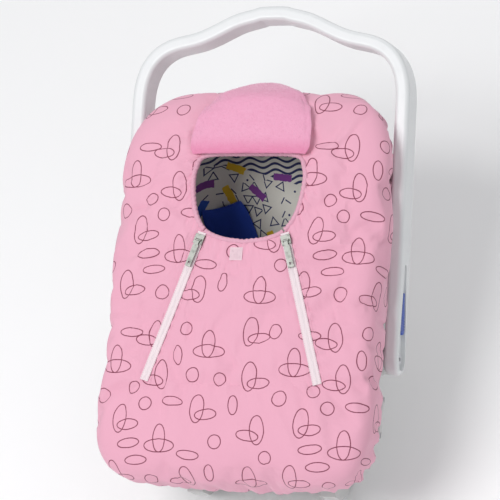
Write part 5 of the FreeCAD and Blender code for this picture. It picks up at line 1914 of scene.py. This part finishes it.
# Studio
@dataclass
class Studio:
    """Floor, lights and camera."""

    azimuth: float = 32.7
    elevation: float = 52.4
    roll: float = 26.0
    distance: float = 4.054
    target: tuple = (0.0, 0.0, 0.260)
    lens: float = 197.23
    sensor: float = 36.0
    shift_x: float = -0.0068
    shift_y: float = 0.109

    def build(self, floor_finish: Material) -> None:
        """Place everything that isn't the object."""
        self.build_camera()
        self.build_floor(floor_finish)
        self.build_lights()

    def axes(self) -> tuple[Vector, Vector, Vector]:
        """Right, up and viewing directions of the camera."""
        sa, ca = math.sin(math.radians(self.azimuth)), math.cos(math.radians(self.azimuth))
        se, ce = math.sin(math.radians(self.elevation)), math.cos(math.radians(self.elevation))
        ahead = Vector((-sa * ce, ca * ce, -se))
        level = Vector((ca, sa, 0.0))
        above = level.cross(ahead)
        cr, sr = math.cos(math.radians(self.roll)), math.sin(math.radians(self.roll))
        return level * cr - above * sr, level * sr + above * cr, ahead

    def build_camera(self) -> None:
        """Camera at the catalogue view."""
        right, up, ahead = self.axes()
        data = bpy.data.cameras.new("view_camera")
        data.lens = self.lens
        data.sensor_width = self.sensor
        data.shift_x = self.shift_x
        data.shift_y = self.shift_y
        data.clip_end = 50.0
        camera = bpy.data.objects.new("view_camera", data)
        rotation = Matrix((right, up, -ahead)).transposed()
        eye = Vector(self.target) - ahead * self.distance
        camera.matrix_world = Matrix.Translation(eye) @ rotation.to_4x4()
        bpy.context.scene.collection.objects.link(camera)
        bpy.context.scene.camera = camera

    def build_floor(self, finish: Material) -> None:
        """Large floor just under the feet."""
        reach = 14.0
        corners = np.array([(-reach, -reach, -0.0004), (reach, -reach, -0.0004), (reach, reach, -0.0004),
                            (-reach, reach, -0.0004)])
        floor = make_object("floor", corners, [(0, 1, 2, 3)])
        floor.data.materials.append(finish)

    def build_lights(self) -> None:
        """Soft key, fill and top lights in a pale room."""
        world = bpy.data.worlds.new("room")
        world.use_nodes = True
        world.node_tree.nodes["Background"].inputs[0].default_value = (0.96, 0.97, 1.0, 1.0)
        world.node_tree.nodes["Background"].inputs[1].default_value = 0.44
        bpy.context.scene.world = world
        lights = (("key", (-0.9, -1.3, 3.2), 1.7, 66.0), ("fill", (2.0, -1.8, 1.8), 2.6, 10.0),
                  ("back", (0.6, 2.6, 2.4), 2.4, 22.0))
        for name, spot, size, power in lights:
            data = bpy.data.lights.new(name, "AREA")
            data.shape = "DISK"
            data.size = size
            data.energy = power
            lamp = bpy.data.objects.new(name, data)
            lamp.location = spot
            toward = Vector((0.0, 0.0, 0.25)) - Vector(spot)
            lamp.rotation_euler = toward.to_track_quat("-Z", "Y").to_euler()
            bpy.context.scene.collection.objects.link(lamp)
        bpy.context.scene.view_settings.view_transform = "Standard"


def crossed(x: float, y: float) -> tuple[Ring, Ring]:
    """Tall ellipse with a level one across its lower half."""
    return Ring(x, y, 9.5, 20.5), Ring(x + 1.0, y - 11.0, 23.5, 9.5)


def leaning(x: float, y: float, side: float) -> tuple[Ring, Ring]:
    """Tall ellipse with a small one beside it, -1 on its left or 1 on its right."""
    return Ring(x, y, 10.5, 21.0, -4.0 * side), Ring(x + 13.5 * side, y - 9.0, 16.5, 7.5, 6.0 * side)


def print_rings() -> tuple[Ring, ...]:
    """Ellipses and circles of one repeat of the cover print."""
    rings: list[Ring] = []
    for x, y in ((34, 34), (176, 96), (96, 212), (240, 236)):
        rings += crossed(x, y)
    for x, y, side in ((98, 42, 1), (216, 34, -1), (48, 112, -1), (112, 124, 1), (232, 140, 1), (30, 190, 1),
                       (170, 190, -1), (154, 250, -1), (26, 256, 1)):
        rings += leaning(x, y, side)
    for x, y, size in ((156, 30, 10), (62, 72, 9), (262, 92, 9.5), (78, 158, 10.5), (150, 146, 9),
                       (262, 184, 9), (64, 256, 10), (202, 258, 9), (128, 170, 9), (220, 190, 9.5)):
        rings.append(Ring(x, y, size, size * 1.05))
    for x, y, tilt in ((140, 64, 4), (222, 72, -6), (128, 88, 8), (192, 150, -4), (116, 252, 0)):
        rings.append(Ring(x, y, 17.0, 6.5, tilt))
    for x, y, tilt in ((10, 146, 3), (194, 218, 6), (252, 44, -8)):
        rings.append(Ring(x, y, 7.0, 14.0, tilt))
    return tuple(rings)


def finishes() -> dict[str, Material]:
    """Build the finish of every material slot.

    Returns:
        Materials by the record's slot names, with a few more of this file's own.
    """
    pink = (0.83, 0.425, 0.545)
    made = {
        "white_plastic": Moulded("white_moulding", (0.76, 0.775, 0.78), 0.34, 700.0, 0.00005, 0.02, 0.12),
        "shell_plastic": Moulded("pale_shell", (0.66, 0.66, 0.65), 0.5, 1100.0, 0.00012, 0.05),
        "rubber": Moulded("foot_rubber", (0.035, 0.035, 0.036), 0.8, 1400.0, 0.0002, 0.1),
        "dark_plastic": Moulded("charcoal_moulding", (0.035, 0.04, 0.05), 0.45, 1200.0, 0.0001, 0.1),
        "red_plastic": Moulded("red_button", (0.62, 0.03, 0.025), 0.35, 900.0, 0.00005, 0.05),
        "blue_plastic": Moulded("blue_lever", (0.02, 0.075, 0.42), 0.42, 900.0, 0.00005, 0.05),
        "steel": Metal("plated_steel", (0.60, 0.61, 0.63)),
        "zip_metal": Metal("worn_nickel", (0.30, 0.31, 0.285), 0.36),
        "foam": BeadFoam("bead_foam", (0.82, 0.82, 0.81)),
        "webbing": Webbing("navy_webbing", (0.018, 0.022, 0.05)),
        "blue_fabric": Cotton("royal_blue_cloth", (0.015, 0.065, 0.46), 0.0011, 0.2),
        "pink_binding": Cotton("binding_cotton", (0.80, 0.42, 0.54), 0.0009, 0.2),
        "zip_tape": Cotton("tape_weave", (0.90, 0.77, 0.80), 0.0008, 0.1),
        "tag_red": Cotton("tag_cloth", (0.30, 0.015, 0.03), 0.0007, 0.1),
        "coil": Moulded("zip_coil_nylon", (0.88, 0.80, 0.82), 0.4, 1800.0, 0.00003, 0.05),
        "thread": Cotton("sewing_thread", (0.84, 0.50, 0.60), 0.0006, 0.1),
        "loop_pile": Cotton("loop_pile", (0.87, 0.66, 0.72), 0.0007, 0.2),
        "fleece": Fleece("pink_fleece", (0.88, 0.46, 0.62)),
        "pink_print": PinkPrint("printed_pink_cotton", pink, (0.17, 0.008, 0.04), 1.4, print_rings()),
        "printed_pad": PadPrint("printed_pad_cloth", (0.78, 0.77, 0.70), (0.02, 0.03, 0.12),
                                ((0.75, 0.50, 0.02), (0.02, 0.10, 0.50), (0.22, 0.05, 0.30),
                                 (0.02, 0.30, 0.28), (0.66, 0.08, 0.02))),
        "floor": Ground("studio_floor", (0.97, 0.97, 0.97)),
    }
    return {name: finish.build() for name, finish in made.items()}


def main() -> None:
    """Build the pieces in order."""
    logging.basicConfig(level=logging.INFO, format="%(message)s")
    looks = finishes()
    Studio().build(looks["floor"])
    cover = CoverCloth()
    cover.build(looks["pink_print"], looks["pink_binding"])
    ZipFasteners(cover).build(looks["zip_tape"], looks["coil"], looks["thread"], looks["loop_pile"])
    FaceFlap().build(looks["fleece"])
    SeatPad().build(looks["printed_pad"])
    Harness().build(looks["webbing"], looks["blue_fabric"])
    SideTag().build(looks["tag_red"])
    hard = HardParts()
    hard.springs(looks["steel"])
    hard.dress(looks)


if __name__ == "__main__":
    main()
